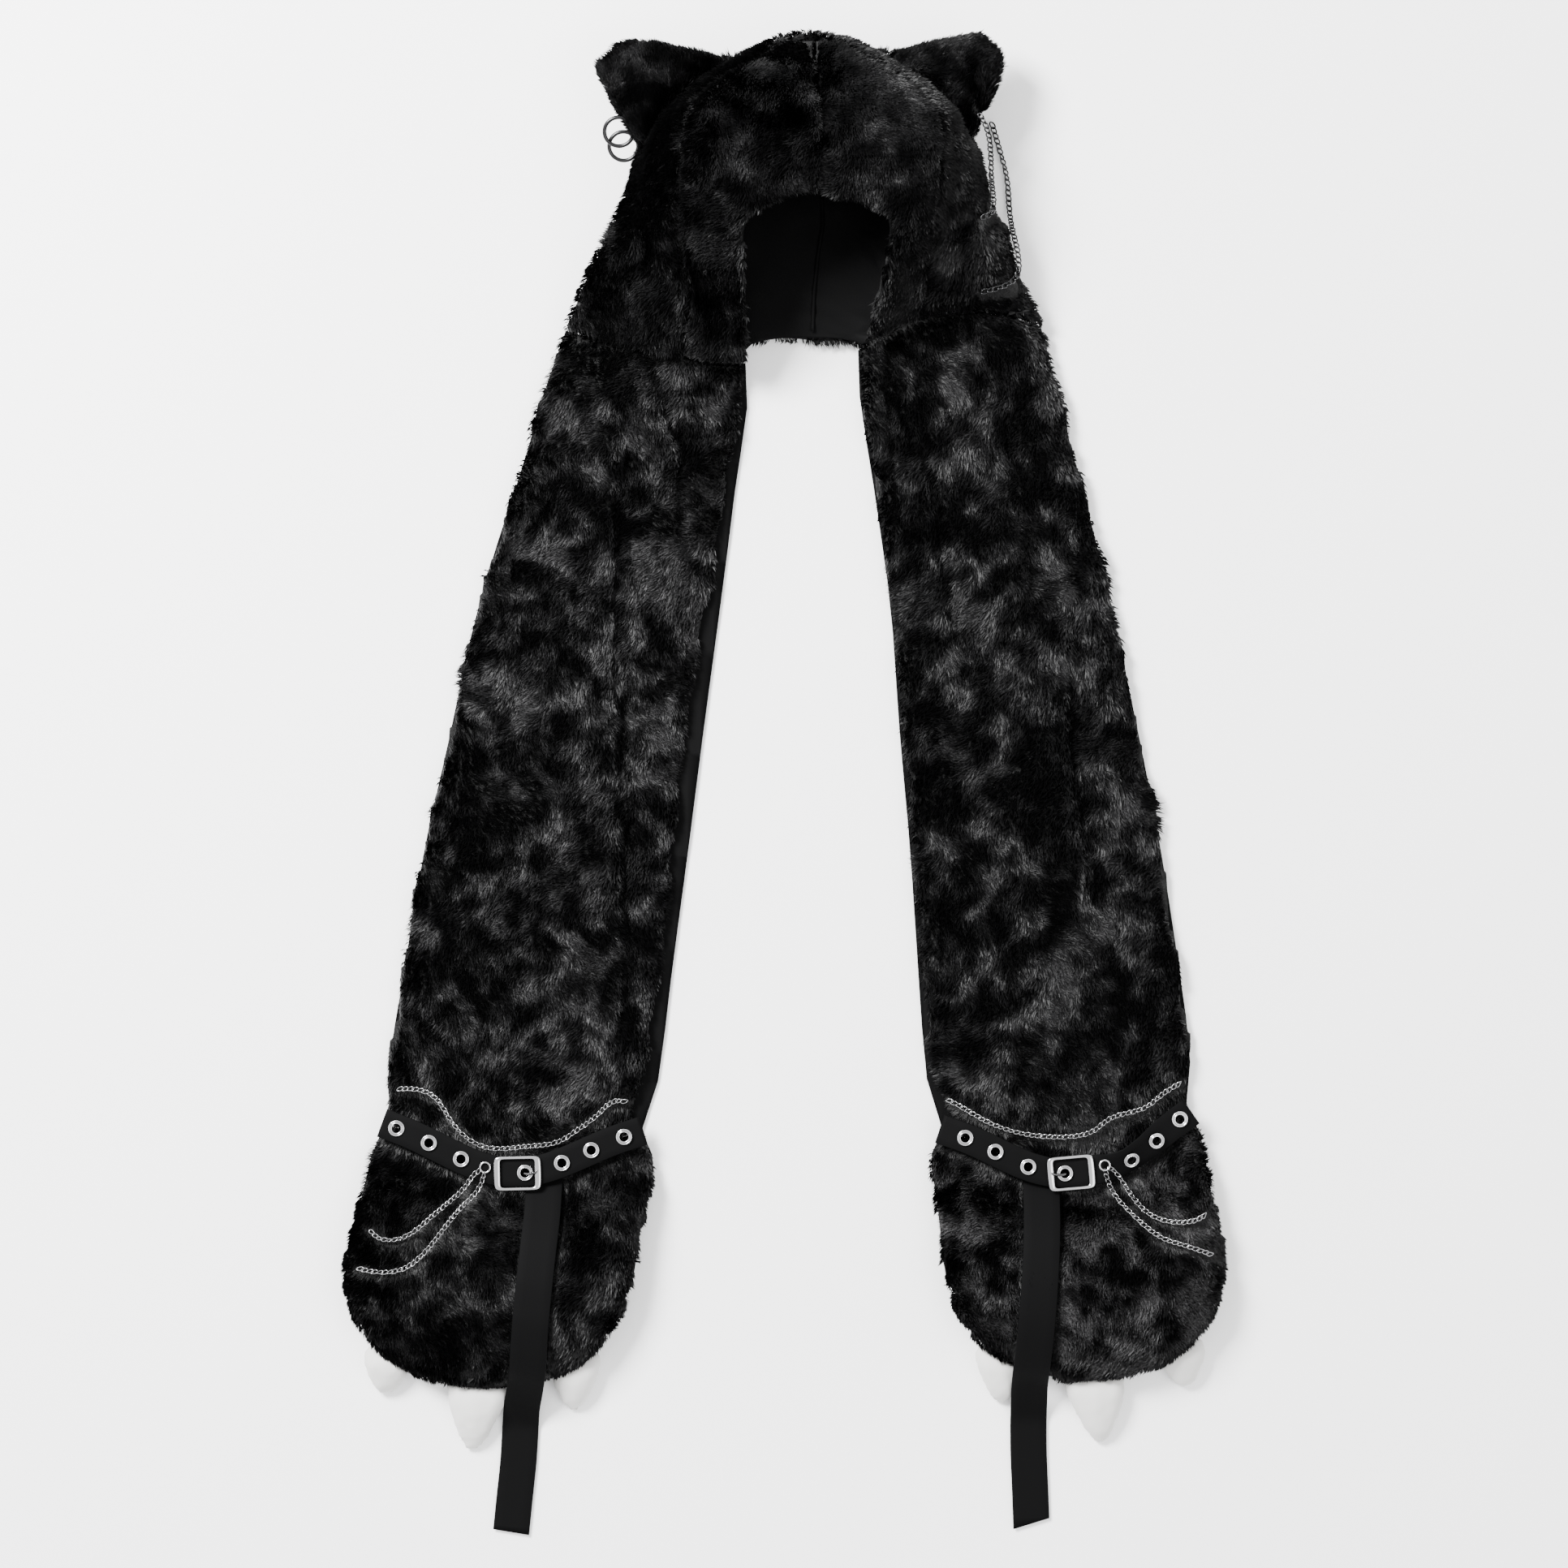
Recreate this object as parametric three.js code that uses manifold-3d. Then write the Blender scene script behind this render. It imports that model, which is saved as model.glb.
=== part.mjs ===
// A black faux-fur cat hood whose two long scarf ends finish in clawed mitts, laid out flat.
// Millimetres, +Z up off the table, +Y towards the crown, +X to the right as seen from above.
import * as THREE from 'three';
import { mergeVertices } from 'three/addons/utils/BufferGeometryUtils.js';
import Module from 'manifold-3d';

const wasm = await Module();
wasm.setup();

// Cloth thicknesses. Fur is backing and pile together.
const FUR_WALL = 8;
const PANEL_WALL = 11;
const LINING_WALL = 2;
const GAP = 0.4; // between pieces that touch on the real one
const WRIST_GAP = 1.4; // between scarf end and mitt, under the strap
const TUFT = 3.5; // how far the pile's tufts stand out along an edge

// Hood, lying on its back with the face opening upwards.
const HOOD_LENGTH = 228; // crown to the inner end of the neck
const HOOD_HALF_WIDTH = 168; // widest, where it meets the scarf
const HOOD_DEPTH = 104; // table to the brow
const HOOD_CROWN = { x: 20, y: 518 };
const NECK_SHIFT = -6; // the neck's middle against the crown's
const NECK_HALF_OPENING = 40; // half the distance between the two scarf ends
const NAPE_LENGTH = 207; // crown to the hem at the back of the neck
const BROW_FULLNESS = 7; // roundness of the front panels between their seams
const BROW_LEAN = 7; // the centre seam leans to the right
const FOOT_INSET = 15; // from the widest line in to the table

// One row for each level from crown to neck. Outs are shares of HOOD_HALF_WIDTH, drops of
// HOOD_LENGTH, ups of HOOD_DEPTH. seam joins the front panel to the back one, side is the outermost
// line, face is the front edge: the centre seam above the brow and the face opening below it.
const HOOD_LEVELS = [
  { at: 0.0, faceOut: 0.0015, faceDrop: 0.004, faceUp: 0.468, seamOut: 0.005, seamDrop: 0.003,
    seamUp: 0.464, sideOut: 0.009, sideDrop: 0.002, sideUp: 0.46, footUp: 0.455, backUp: 0.452,
    wall: 0.02 },
  { at: 0.06, faceOut: 0.0015, faceDrop: 0.055, faceUp: 0.62, seamOut: 0.105, seamDrop: 0.045,
    seamUp: 0.57, sideOut: 0.14, sideDrop: 0.018, sideUp: 0.46, footUp: 0.36, backUp: 0.32, wall: 0.5 },
  { at: 0.12, faceOut: 0.0015, faceDrop: 0.11, faceUp: 0.74, seamOut: 0.21, seamDrop: 0.095,
    seamUp: 0.67, sideOut: 0.28, sideDrop: 0.065, sideUp: 0.45, footUp: 0.22, backUp: 0.18, wall: 0.85 },
  { at: 0.25, faceOut: 0.0015, faceDrop: 0.235, faceUp: 0.88, seamOut: 0.4, seamDrop: 0.175,
    seamUp: 0.78, sideOut: 0.47, sideDrop: 0.15, sideUp: 0.43, footUp: 0.09, backUp: 0.06, wall: 1 },
  { at: 0.38, faceOut: 0.0015, faceDrop: 0.36, faceUp: 0.95, seamOut: 0.5, seamDrop: 0.263, seamUp: 0.84,
    sideOut: 0.61, sideDrop: 0.26, sideUp: 0.41, footUp: 0.03, backUp: 0.01, wall: 1 },
  { at: 0.5, faceOut: 0.02, faceDrop: 0.478, faceUp: 0.98, seamOut: 0.52, seamDrop: 0.377, seamUp: 0.87,
    sideOut: 0.7, sideDrop: 0.36, sideUp: 0.39, footUp: 0, backUp: 0, wall: 1 },
  { at: 0.56, faceOut: 0.18, faceDrop: 0.497, faceUp: 0.98, seamOut: 0.515, seamDrop: 0.44,
    seamUp: 0.865, sideOut: 0.715, sideDrop: 0.43, sideUp: 0.38, footUp: 0, backUp: 0, wall: 1 },
  { at: 0.62, faceOut: 0.31, faceDrop: 0.57, faceUp: 0.95, seamOut: 0.51, seamDrop: 0.505, seamUp: 0.85,
    sideOut: 0.755, sideDrop: 0.5, sideUp: 0.37, footUp: 0, backUp: 0, wall: 1 },
  { at: 0.74, faceOut: 0.285, faceDrop: 0.72, faceUp: 0.82, seamOut: 0.505, seamDrop: 0.636,
    seamUp: 0.74, sideOut: 0.83, sideDrop: 0.625, sideUp: 0.33, footUp: 0, backUp: 0, wall: 1 },
  { at: 0.87, faceOut: 0.255, faceDrop: 0.86, faceUp: 0.56, seamOut: 0.49, seamDrop: 0.776, seamUp: 0.52,
    sideOut: 0.91, sideDrop: 0.76, sideUp: 0.26, footUp: 0, backUp: 0, wall: 1 },
  { at: 1.0, faceOut: 0.238, faceDrop: 0.96, faceUp: 0.25, seamOut: 0.48, seamDrop: 0.92, seamUp: 0.26,
    sideOut: 1.0, sideDrop: 0.873, sideUp: 0.13, footUp: 0, backUp: 0, wall: 1 },
];

// Scarf ends. Each runs from the hood's neck to a wrist strap, and a mitt goes on from there.
const SCARF_WIDTH = 192;
const SCARF_HEIGHT = 19;
const SCARF_EDGE = 4; // thickness of the fur at its edges
const WRIST_HEIGHT = 15; // fur pressed down by the strap
const MITT_WIDTH = 200;
const MITT_LENGTH = 124; // along its sides
const MITT_ROUND = 58; // how far the rounded end reaches past the sides
const MITT_HEIGHT = 43;
const SLIT_LENGTH = 112; // hand slit in the palm
const SLIT_WIDTH = 26;
const SLIT_FROM_WRIST = 50;

// neckInner, neckOuter and neckArch place the seam between hood and scarf: two ends and the rise of
// its middle. wristTilt is its rise per mm outwards, wristSag the drop of its middle and wristSkew
// how far the deep part is carried outwards, as a share of the width.
const SIDES = {
  left: { out: -1, neckInner: 295, neckOuter: 318, neckArch: -6, wrist: { x: -188, y: -239 },
    wristTilt: 0.03, wristSag: 31, wristSkew: 0, bow: 7, mittShare: 1, mittLean: 18 },
  right: { out: 1, neckInner: 304, neckOuter: 319, neckArch: 18, wrist: { x: 198, y: -234 },
    wristTilt: 0.08, wristSag: 36, wristSkew: 0.09, bow: 8.5, mittShare: 0.965, mittLean: 13 },
};

// Widths are shares of SCARF_WIDTH, heights of SCARF_HEIGHT, bow of the side's own bow outwards.
// A lap is how far the smooth back shows past the fur on the inner side, as a share of the width.
const SCARF_ROWS = [
  { at: 0.0, left: 0.667, right: 0.68, height: 1.2, bow: 0.0, leftLap: 0.01, rightLap: 0.006 },
  { at: 0.07, left: 0.748, right: 0.724, height: 1.05, bow: 0.0, leftLap: 0.035, rightLap: 0.006 },
  { at: 0.16, left: 0.8, right: 0.76, height: 0.95, bow: 0.4, leftLap: 0.04, rightLap: 0.006 },
  { at: 0.25, left: 0.854, right: 0.79, height: 0.92, bow: 0.75, leftLap: 0.035, rightLap: 0.006 },
  { at: 0.35, left: 0.9, right: 0.82, height: 0.9, bow: 1.0, leftLap: 0.06, rightLap: 0.006 },
  { at: 0.5, left: 0.935, right: 0.88, height: 0.9, bow: 0.95, leftLap: 0.08, rightLap: 0.006 },
  { at: 0.65, left: 0.975, right: 0.925, height: 0.9, bow: 0.9, leftLap: 0.055, rightLap: 0.008 },
  { at: 0.82, left: 0.99, right: 0.965, height: 0.95, bow: 0.5, leftLap: 0.05, rightLap: 0.012 },
  { at: 0.92, left: 1.0, right: 0.976, height: 0.93, bow: 0.2, leftLap: 0.05, rightLap: 0.024 },
  { at: 0.97, left: 0.975, right: 0.95, height: WRIST_HEIGHT / SCARF_HEIGHT, bow: 0.0, leftLap: 0.065,
    rightLap: 0.05 },
  { at: 1.0, left: 0.932, right: 0.9, height: WRIST_HEIGHT / SCARF_HEIGHT, bow: 0.0, leftLap: 0.06,
    rightLap: 0.05 },
];

// Lengthwise folds in the fur. across runs from the inner edge (0) to the outer one (1), rise is a
// share of SCARF_HEIGHT, from and to are places along the scarf.
const FOLDS = {
  left: [
    { from: 0.0, to: 0.42, acrossFrom: 0.4, acrossTo: 0.12, breadth: 0.12, rise: 0.34 },
    { from: 0.02, to: 0.86, acrossFrom: 0.66, acrossTo: 0.4, breadth: 0.13, rise: 0.26 },
    { from: 0.0, to: 0.35, acrossFrom: 0.86, acrossTo: 0.74, breadth: 0.12, rise: 0.24 },
    { from: 0.6, to: 0.97, acrossFrom: 0.42, acrossTo: 0.16, breadth: 0.12, rise: 0.2 },
  ],
  right: [
    { from: 0.0, to: 0.3, acrossFrom: 0.25, acrossTo: 0.3, breadth: 0.13, rise: 0.26 },
    { from: 0.15, to: 0.75, acrossFrom: 0.72, acrossTo: 0.48, breadth: 0.14, rise: 0.2 },
    { from: 0.5, to: 0.97, acrossFrom: 0.2, acrossTo: 0.5, breadth: 0.13, rise: 0.22 },
  ],
};

// Mitts from the wrist to the rounded end. swell goes from the wrist's width (0) to MITT_WIDTH (1),
// heights are shares of MITT_HEIGHT and lean is a share of the side's own lean outwards.
const MITT_ROWS = [
  { at: 0.0, swell: 0.0, height: WRIST_HEIGHT / MITT_HEIGHT, lean: 0 },
  { at: 0.13, swell: 0.75, height: WRIST_HEIGHT / MITT_HEIGHT, lean: 0.04 },
  { at: 0.24, swell: 0.9, height: 0.6, lean: 0.14 },
  { at: 0.36, swell: 0.92, height: 0.86, lean: 0.35 },
  { at: 0.55, swell: 1.0, height: 1.0, lean: 0.62 },
  { at: 0.72, swell: 1.08, height: 0.98, lean: 0.85 },
  { at: 0.86, swell: 1.05, height: 0.82, lean: 0.97 },
  { at: 0.95, swell: 0.6, height: 0.56, lean: 1 },
  { at: 1.0, swell: 0.0, height: 0.22, lean: 1 },
];
const MITT_RIM = 8; // height of the fur all round the mitt's edge

// Ears: padded triangles, by the place of each corner and the height of its middle at root and tip.
// A place is its distance out from the crown, rightwards, as a share of HOOD_HALF_WIDTH, and down from
// it in mm.
const EAR_THICKNESS = 26;
const EARS = {
  left: { rootInner: [-0.2619, 19], rootOuter: [-0.6905, 88], tip: [-0.8393, 11], rootUp: 50,
    tipUp: 34 },
  right: { rootInner: [0.2262, 17], rootOuter: [0.6548, 82], tip: [0.744, 6], rootUp: 50, tipUp: 36 },
};
// Widths along an ear are shares of its root, thicknesses of EAR_THICKNESS.
const EAR_ROWS = [
  { at: -0.3, width: 1.0, thick: 0.8 },
  { at: 0.0, width: 1.0, thick: 0.92 },
  { at: 0.25, width: 0.86, thick: 1.0 },
  { at: 0.5, width: 0.7, thick: 0.92 },
  { at: 0.72, width: 0.55, thick: 0.78 },
  { at: 0.9, width: 0.4, thick: 0.58 },
  { at: 1.0, width: 0.26, thick: 0.3 },
];

// Claws: white padded cones sewn in under the mitt's rounded end. across is the place on that end
// from the inner side (0) to the outer one (1), drift how far the tip swings outwards.
const CLAW_THICKNESS = 18;
const CLAWS = [
  { name: 'inner', across: 0.16, length: 30, width: 35, drift: 1 },
  { name: 'middle', across: 0.53, length: 43, width: 42, drift: 6 },
  { name: 'outer', across: 0.875, length: 23, width: 36, drift: 5 },
];
const CLAW_ROOT = 9; // length sewn in under the mitt's edge
const CLAW_ROWS = [
  { at: 0.0, width: 0.98, thick: 0.62 },
  { at: 0.25, width: 1.0, thick: 0.98 },
  { at: 0.5, width: 0.8, thick: 0.92 },
  { at: 0.76, width: 0.52, thick: 0.66 },
  { at: 0.93, width: 0.32, thick: 0.42 },
  { at: 1.0, width: 0.14, thick: 0.18 },
];

// Wrist straps, eyelets, buckles and the long tails.
const STRAP_WIDTH = 20.5;
const STRAP_THICKNESS = 1.5;
const STRAP_LIFT = 3.6; // over the pressed fur, room for the tail's root
const STRAP_OVERHANG = 0.015; // past each side of the wrist, as a share of its width
const EYELET_PLACES = {
  left: [0.067, 0.194, 0.308, 0.451, 0.7, 0.825, 0.952],
  right: [0.089, 0.21, 0.342, 0.49, 0.753, 0.855, 0.952],
};
const BUCKLE_PLACE = { left: 0.48, right: 0.515 };
// The right strap lies twisted beyond its buckle. Angles in degrees along the wrist.
const STRAP_ROLLS = [
  { at: -0.05, left: 0, right: 0 },
  { at: 0.5, left: 0, right: 0 },
  { at: 0.62, left: 0, right: 0 },
  { at: 0.69, left: 0, right: 24 },
  { at: 0.78, left: 0, right: 30 },
  { at: 0.9, left: 0, right: 9 },
  { at: 1.05, left: 0, right: 0 },
];
const EYELET_BORE = 3.1;
const EYELET_BARREL = 3.8;
const EYELET_FLANGE = 5.7;
const EYELET_RISE = 0.9;
const EYELET_CLEARANCE = 0.5; // round its barrel
const EYELET_SIDES = 10;
const BUCKLE_LENGTH = 33;
const BUCKLE_HEIGHT = 24;
const BUCKLE_END_BAR = 4.8;
const BUCKLE_SIDE_BAR = 2.4;
const BUCKLE_THICKNESS = 2.2;
const PRONG_RADIUS = 0.9;
const TAIL_WIDTH = 25.5;
const TAIL_THICKNESS = 1.4;
const TAIL_BEND = 9; // tightest bend over an edge
// Middle of each tail, outwards and along from the middle of the wrist.
const TAIL_ROUTES = {
  left: [[-22, -30], [-21, -60], [-18, -90], [-14, -131], [-10, -176], [-6, -193], [-3, -235], [0, -263],
    [2, -284]],
  right: [[-18, -37], [-18, -64], [-20, -103], [-23, -144], [-26, -178], [-26, -199], [-26, -232],
    [-25, -256], [-24, -283]],
};

// Rings through the left ear, placed like the ears, and the chains.
const EAR_RING_RADIUS = 10.6;
const EAR_RING_WIRE = 0.8;
const EAR_RINGS = [
  { name: 'ear_ring_upper', place: [-0.7917, 67.5], up: 46, tilt: 0.34 },
  { name: 'ear_ring_lower', place: [-0.7738, 76.5], up: 39.5, tilt: 0.34 },
];
const JUMP_RING_RADIUS = 3.6;
const JUMP_RING_WIRE = 0.7;
const JUMP_RING_PLACE = { left: [19, -27], right: [25.5, -30] };
const CHAIN_DIAMETER = 3.4;
const CHAIN_SIDES = 8;
const CHAIN_STEP = 8;
// Chosen points of each chain, outwards and along from the middle of its wrist.
const WRIST_CHAINS = {
  left: [
    { name: 'upper', route: [[81, 27], [66, 27], [53.7, 21.5], [41.7, 3.4], [32.7, -6], [22, -12.5],
      [10, -14.5], [-8.8, -12.8], [-32, -9.5], [-44, -2], [-57, 7], [-64, 14], [-69, 19.5], [-80, 18]] },
    { name: 'lower_short', route: [[26.5, -31], [34.4, -42.5], [44.6, -51.5], [55.9, -60.8],
      [66.2, -69.4], [77.5, -75], [91, -75.5], [98, -69]] },
    { name: 'lower_long', route: [[20.5, -35], [25, -44.5], [34.4, -53.5], [42.9, -63.5], [52.5, -75.6],
      [61.1, -85.8], [71.3, -94.3], [82.6, -97.8], [96.3, -97.8], [107, -95.5]] },
  ],
  right: [
    { name: 'upper', route: [[-84, 15], [-71, 8.2], [-59.7, 1.5], [-46.1, -4.4], [-29.6, -8.9],
      [-12.6, -11], [2.2, -11], [15, -8.6], [23, -4], [27, 1], [34, 3.7], [55.6, 9.4], [64.1, 16.8],
      [72, 22.4], [80, 26.5]] },
    { name: 'lower_short', route: [[33, -34], [39.5, -43.5], [46.5, -54], [55.6, -63.5], [67, -68],
      [78.9, -69], [89, -67.5], [96, -63.3]] },
    { name: 'lower_long', route: [[27, -38.5], [31.5, -49.5], [41, -60.5], [53, -71.5], [65.3, -79.8],
      [78.9, -84], [91, -88.3], [100, -92]] },
  ],
};
// Chosen plan points of the two strands on the right ear, placed like the ears.
const EAR_CHAINS = [
  { name: 'ear_chain_short', route: [[0.6845, 56], [0.7202, 66], [0.7381, 86], [0.7429, 107.6],
    [0.7464, 119.5], [0.7351, 126.5], [0.6905, 128.5]] },
  { name: 'ear_chain_long', route: [[0.75, 54], [0.7857, 75], [0.8125, 91.7], [0.8244, 113.3],
    [0.8363, 135], [0.8542, 152], [0.8512, 165.6], [0.8071, 172], [0.753, 175.7], [0.6964, 177.5]] },
];

const FUR = new THREE.MeshStandardMaterial({ color: 0x0b0b0c, roughness: 0.85 });
const SMOOTH_CLOTH = new THREE.MeshStandardMaterial({ color: 0x0d0d0e, roughness: 0.9 });
const WEBBING = new THREE.MeshStandardMaterial({ color: 0x141315, roughness: 0.8 });
const CLAW_CLOTH = new THREE.MeshStandardMaterial({ color: 0xe9e8e6, roughness: 0.8 });
const METAL = new THREE.MeshStandardMaterial({ color: 0xc9cbce, roughness: 0.25, metalness: 1 });

const layout = new THREE.Group();

function add(name, geometry, material) {
  const mesh = new THREE.Mesh(geometry, material);
  mesh.name = name;
  layout.add(mesh);
  return mesh;
}

// A smooth curve through one column of a table, read at t.
function column(rows, key) {
  return (t) => {
    let i = 0;
    while (i < rows.length - 2 && t > rows[i + 1].at) i += 1;
    const a = rows[i];
    const b = rows[i + 1];
    const before = rows[Math.max(i - 1, 0)];
    const after = rows[Math.min(i + 2, rows.length - 1)];
    const span = b.at - a.at;
    const s = THREE.MathUtils.clamp((t - a.at) / span, 0, 1);
    const slopeA = ((b[key] - before[key]) / (b.at - before.at)) * span;
    const slopeB = ((after[key] - a[key]) / (after.at - a.at)) * span;
    return hermite(a[key], b[key], slopeA, slopeB, s);
  };
}

function hermite(a, b, slopeA, slopeB, s) {
  const s2 = s * s;
  const s3 = s2 * s;
  return (2 * s3 - 3 * s2 + 1) * a + (s3 - 2 * s2 + s) * slopeA + (3 * s2 - 2 * s3) * b + (s3 - s2) * slopeB;
}

function columns(rows) {
  const read = {};
  for (const key of Object.keys(rows[0])) if (key !== 'at') read[key] = column(rows, key);
  return read;
}

const { lerp, clamp, smoothstep } = THREE.MathUtils;
const steps = (count, from = 0, to = 1) =>
  Array.from({ length: count + 1 }, (_, i) => from + ((to - from) * i) / count);

// A closed body from its corners and triangles, turned to face outwards.
function body(positions, faces) {
  let volume = 0;
  const corner = (i) => new THREE.Vector3(positions[3 * i], positions[3 * i + 1], positions[3 * i + 2]);
  for (let i = 0; i < faces.length; i += 3) {
    volume += corner(faces[i]).dot(corner(faces[i + 1]).cross(corner(faces[i + 2])));
  }
  if (volume < 0) {
    for (let i = 0; i < faces.length; i += 3) [faces[i + 1], faces[i + 2]] = [faces[i + 2], faces[i + 1]];
  }
  const geometry = new THREE.BufferGeometry();
  geometry.setAttribute('position', new THREE.Float32BufferAttribute(positions, 3));
  geometry.setIndex(faces);
  return geometry;
}

// A closed wall between two surfaces given over the same grid of u and v.
function wall(uValues, vValues, front, back) {
  const positions = [];
  const [f, k] = [front, back].map((surface) =>
    uValues.map((u) =>
      vValues.map((v) => {
        const p = surface(u, v);
        return positions.push(p.x, p.y, p.z) / 3 - 1;
      })));
  const faces = [];
  const quad = (a, b, c, d) => faces.push(a, b, c, a, c, d);
  const lastU = uValues.length - 1;
  const lastV = vValues.length - 1;
  for (let i = 0; i < lastU; i += 1) {
    for (let j = 0; j < lastV; j += 1) {
      quad(f[i][j], f[i + 1][j], f[i + 1][j + 1], f[i][j + 1]);
      quad(k[i][j], k[i][j + 1], k[i + 1][j + 1], k[i + 1][j]);
    }
    quad(f[i][0], k[i][0], k[i + 1][0], f[i + 1][0]);
    quad(f[i][lastV], f[i + 1][lastV], k[i + 1][lastV], k[i][lastV]);
  }
  for (let j = 0; j < lastV; j += 1) {
    quad(f[0][j], f[0][j + 1], k[0][j + 1], k[0][j]);
    quad(f[lastU][j], k[lastU][j], k[lastU][j + 1], f[lastU][j + 1]);
  }
  return body(positions, faces);
}

// A closed body through a row of loops, its two end loops capped by a fan.
function skin(loops) {
  const positions = [];
  const at = loops.map((loop) => loop.map((p) => positions.push(p.x, p.y, p.z) / 3 - 1));
  const sides = loops[0].length;
  const last = loops.length - 1;
  const faces = [];
  for (let i = 0; i < last; i += 1) {
    for (let j = 0; j < sides; j += 1) {
      const next = (j + 1) % sides;
      faces.push(at[i][j], at[i][next], at[i + 1][next], at[i][j], at[i + 1][next], at[i + 1][j]);
    }
  }
  for (let j = 1; j < sides - 1; j += 1) {
    faces.push(at[0][0], at[0][j + 1], at[0][j]);
    faces.push(at[last][0], at[last][j], at[last][j + 1]);
  }
  return body(positions, faces);
}

function solid(geometry) {
  const bare = geometry.index ? geometry.clone() : geometry;
  bare.deleteAttribute('normal');
  bare.deleteAttribute('uv');
  const merged = mergeVertices(bare, 1e-4);
  return new wasm.Manifold(new wasm.Mesh({
    numProp: 3,
    vertProperties: merged.attributes.position.array,
    triVerts: new Uint32Array(merged.index.array),
  }));
}

function geometryOf(manifold) {
  const mesh = manifold.getMesh();
  return body(Array.from(mesh.vertProperties), Array.from(mesh.triVerts));
}

// What is left of a body once others are cut away, without the crumbs.
function cutAway(from, cutters) {
  const left = cutters.reduce((rest, cutter) => rest.subtract(cutter), from);
  return left.decompose().reduce((a, b) => (b.volume() > a.volume() ? b : a));
}

// A flat sheet with the outline given, between two heights.
function sheet(outline, from, to, holes = [], grow = 0) {
  let plan = new wasm.CrossSection([outline.map((p) => [p.x, p.y])], 'Positive');
  if (plan.area() <= 0) plan = new wasm.CrossSection([outline.map((p) => [p.x, p.y]).reverse()], 'Positive');
  if (grow) plan = plan.offset(grow, 'Miter', 2, 0);
  for (const hole of holes) plan = plan.subtract(hole);
  return plan.extrude(to - from).translate([0, 0, from]);
}

// Hood
const hood = columns(HOOD_LEVELS);
const neckMiddle = HOOD_CROWN.x + NECK_SHIFT;
const SEAM = 2; // place of the side seam among the corners below
const SEAM_GAP = 0.012;
const CENTRE_BACK = 6;
const HEM_ALLOWANCE = 8; // run past the neck seam before it is trimmed

// Height up the page of the seam between hood and scarf, across from its inner end (0) to its outer.
function neckY(side, across) {
  const { neckInner, neckOuter, neckArch } = SIDES[side];
  return lerp(neckInner, neckOuter, across) + neckArch * Math.sin(Math.PI * across);
}

// The hood's lower hem, with an allowance below its seams that is trimmed off later.
function hemY(side, x) {
  const away = Math.abs(x - neckMiddle);
  const across = clamp((away - NECK_HALF_OPENING) / (HOOD_HALF_WIDTH - NECK_HALF_OPENING), 0, 1);
  return neckY(side, across) - HEM_ALLOWANCE;
}

// Corners of one half of the hood's section at level t, set in from the outside by inset: face
// edge, brow, seam, side, foot, sole and centre back.
function hoodCorners(side, t, inset) {
  const { out } = SIDES[side];
  const middle = lerp(HOOD_CROWN.x, neckMiddle, t * t);
  const keep = inset * Math.min(1, hood.wall(t));
  const lean = BROW_LEAN * Math.sin(Math.PI * t);
  const point = (x, drop, z) => new THREE.Vector3(middle + out * x, HOOD_CROWN.y - drop * HOOD_LENGTH, z);
  const sideOut = hood.sideOut(t) * HOOD_HALF_WIDTH;
  const foot = Math.min(FOOT_INSET, 0.35 * sideOut);
  const footUp = Math.max(0, hood.footUp(t)) * HOOD_DEPTH;
  const backUp = Math.max(0, hood.backUp(t)) * HOOD_DEPTH;
  const backDrop = lerp(0.006, NAPE_LENGTH / HOOD_LENGTH, t);
  const seamX = hood.seamOut(t) * HOOD_HALF_WIDTH - 0.4 * keep;
  const seamZ = hood.seamUp(t) * HOOD_DEPTH - 0.9 * keep;
  const seam = point(seamX, hood.seamDrop(t), seamZ);
  const face = point(hood.faceOut(t) * HOOD_HALF_WIDTH, hood.faceDrop(t), hood.faceUp(t) * HOOD_DEPTH - keep);
  face.x += lean;
  const brow = seam.clone().lerp(face, 0.5);
  brow.z += BROW_FULLNESS * Math.sin(Math.PI * Math.min(1, t + 0.15)) ** 2;
  return [
    face,
    brow,
    seam,
    point(sideOut - keep, hood.sideDrop(t), hood.sideUp(t) * HOOD_DEPTH),
    point(sideOut - foot - 0.3 * keep, lerp(hood.sideDrop(t), backDrop, 0.06), footUp + keep),
    point(0.42 * sideOut, lerp(hood.sideDrop(t), backDrop, 0.8), backUp + keep),
    point(0, backDrop, backUp + keep),
  ];
}

// A point on that section. c counts along its corners from 0 at the face edge.
function hoodPoint(side, t, c, inset) {
  const corners = hoodCorners(side, t, inset);
  const last = corners.length - 1;
  const i = Math.min(Math.floor(c), last - 1);
  const mirrored = corners[last - 1].clone();
  mirrored.x = 2 * corners[last].x - mirrored.x;
  const before = corners[Math.max(i - 1, 0)];
  const after = corners[i + 2] ?? mirrored;
  const along = (key) => {
    const slopeIn = (corners[i + 1][key] - before[key]) / 2;
    const slopeOut = (after[key] - corners[i][key]) / 2;
    return hermite(corners[i][key], corners[i + 1][key], slopeIn, slopeOut, c - i);
  };
  const p = new THREE.Vector3(along('x'), along('y'), Math.max(along('z'), 0));
  p.y = lerp(p.y, hemY(side, p.x), smoothstep(t, 0.9, 1));
  return p;
}

const HOOD_STEPS = HOOD_LEVELS.map((row) => row.at);

// Scarf ends
const scarf = columns(SCARF_ROWS);
const mitt = columns(MITT_ROWS);
const FLOOR = LINING_WALL + GAP;
const SCARF_STEPS = 20;

// Fullness across a padded panel, from 0 at its edges to 1.
function cushion(across) {
  return Math.sqrt(Math.max(0, 1 - Math.abs(2 * across - 1) ** 4));
}

function wristWidth(side) {
  return SCARF_WIDTH * scarf[side](1);
}

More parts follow.
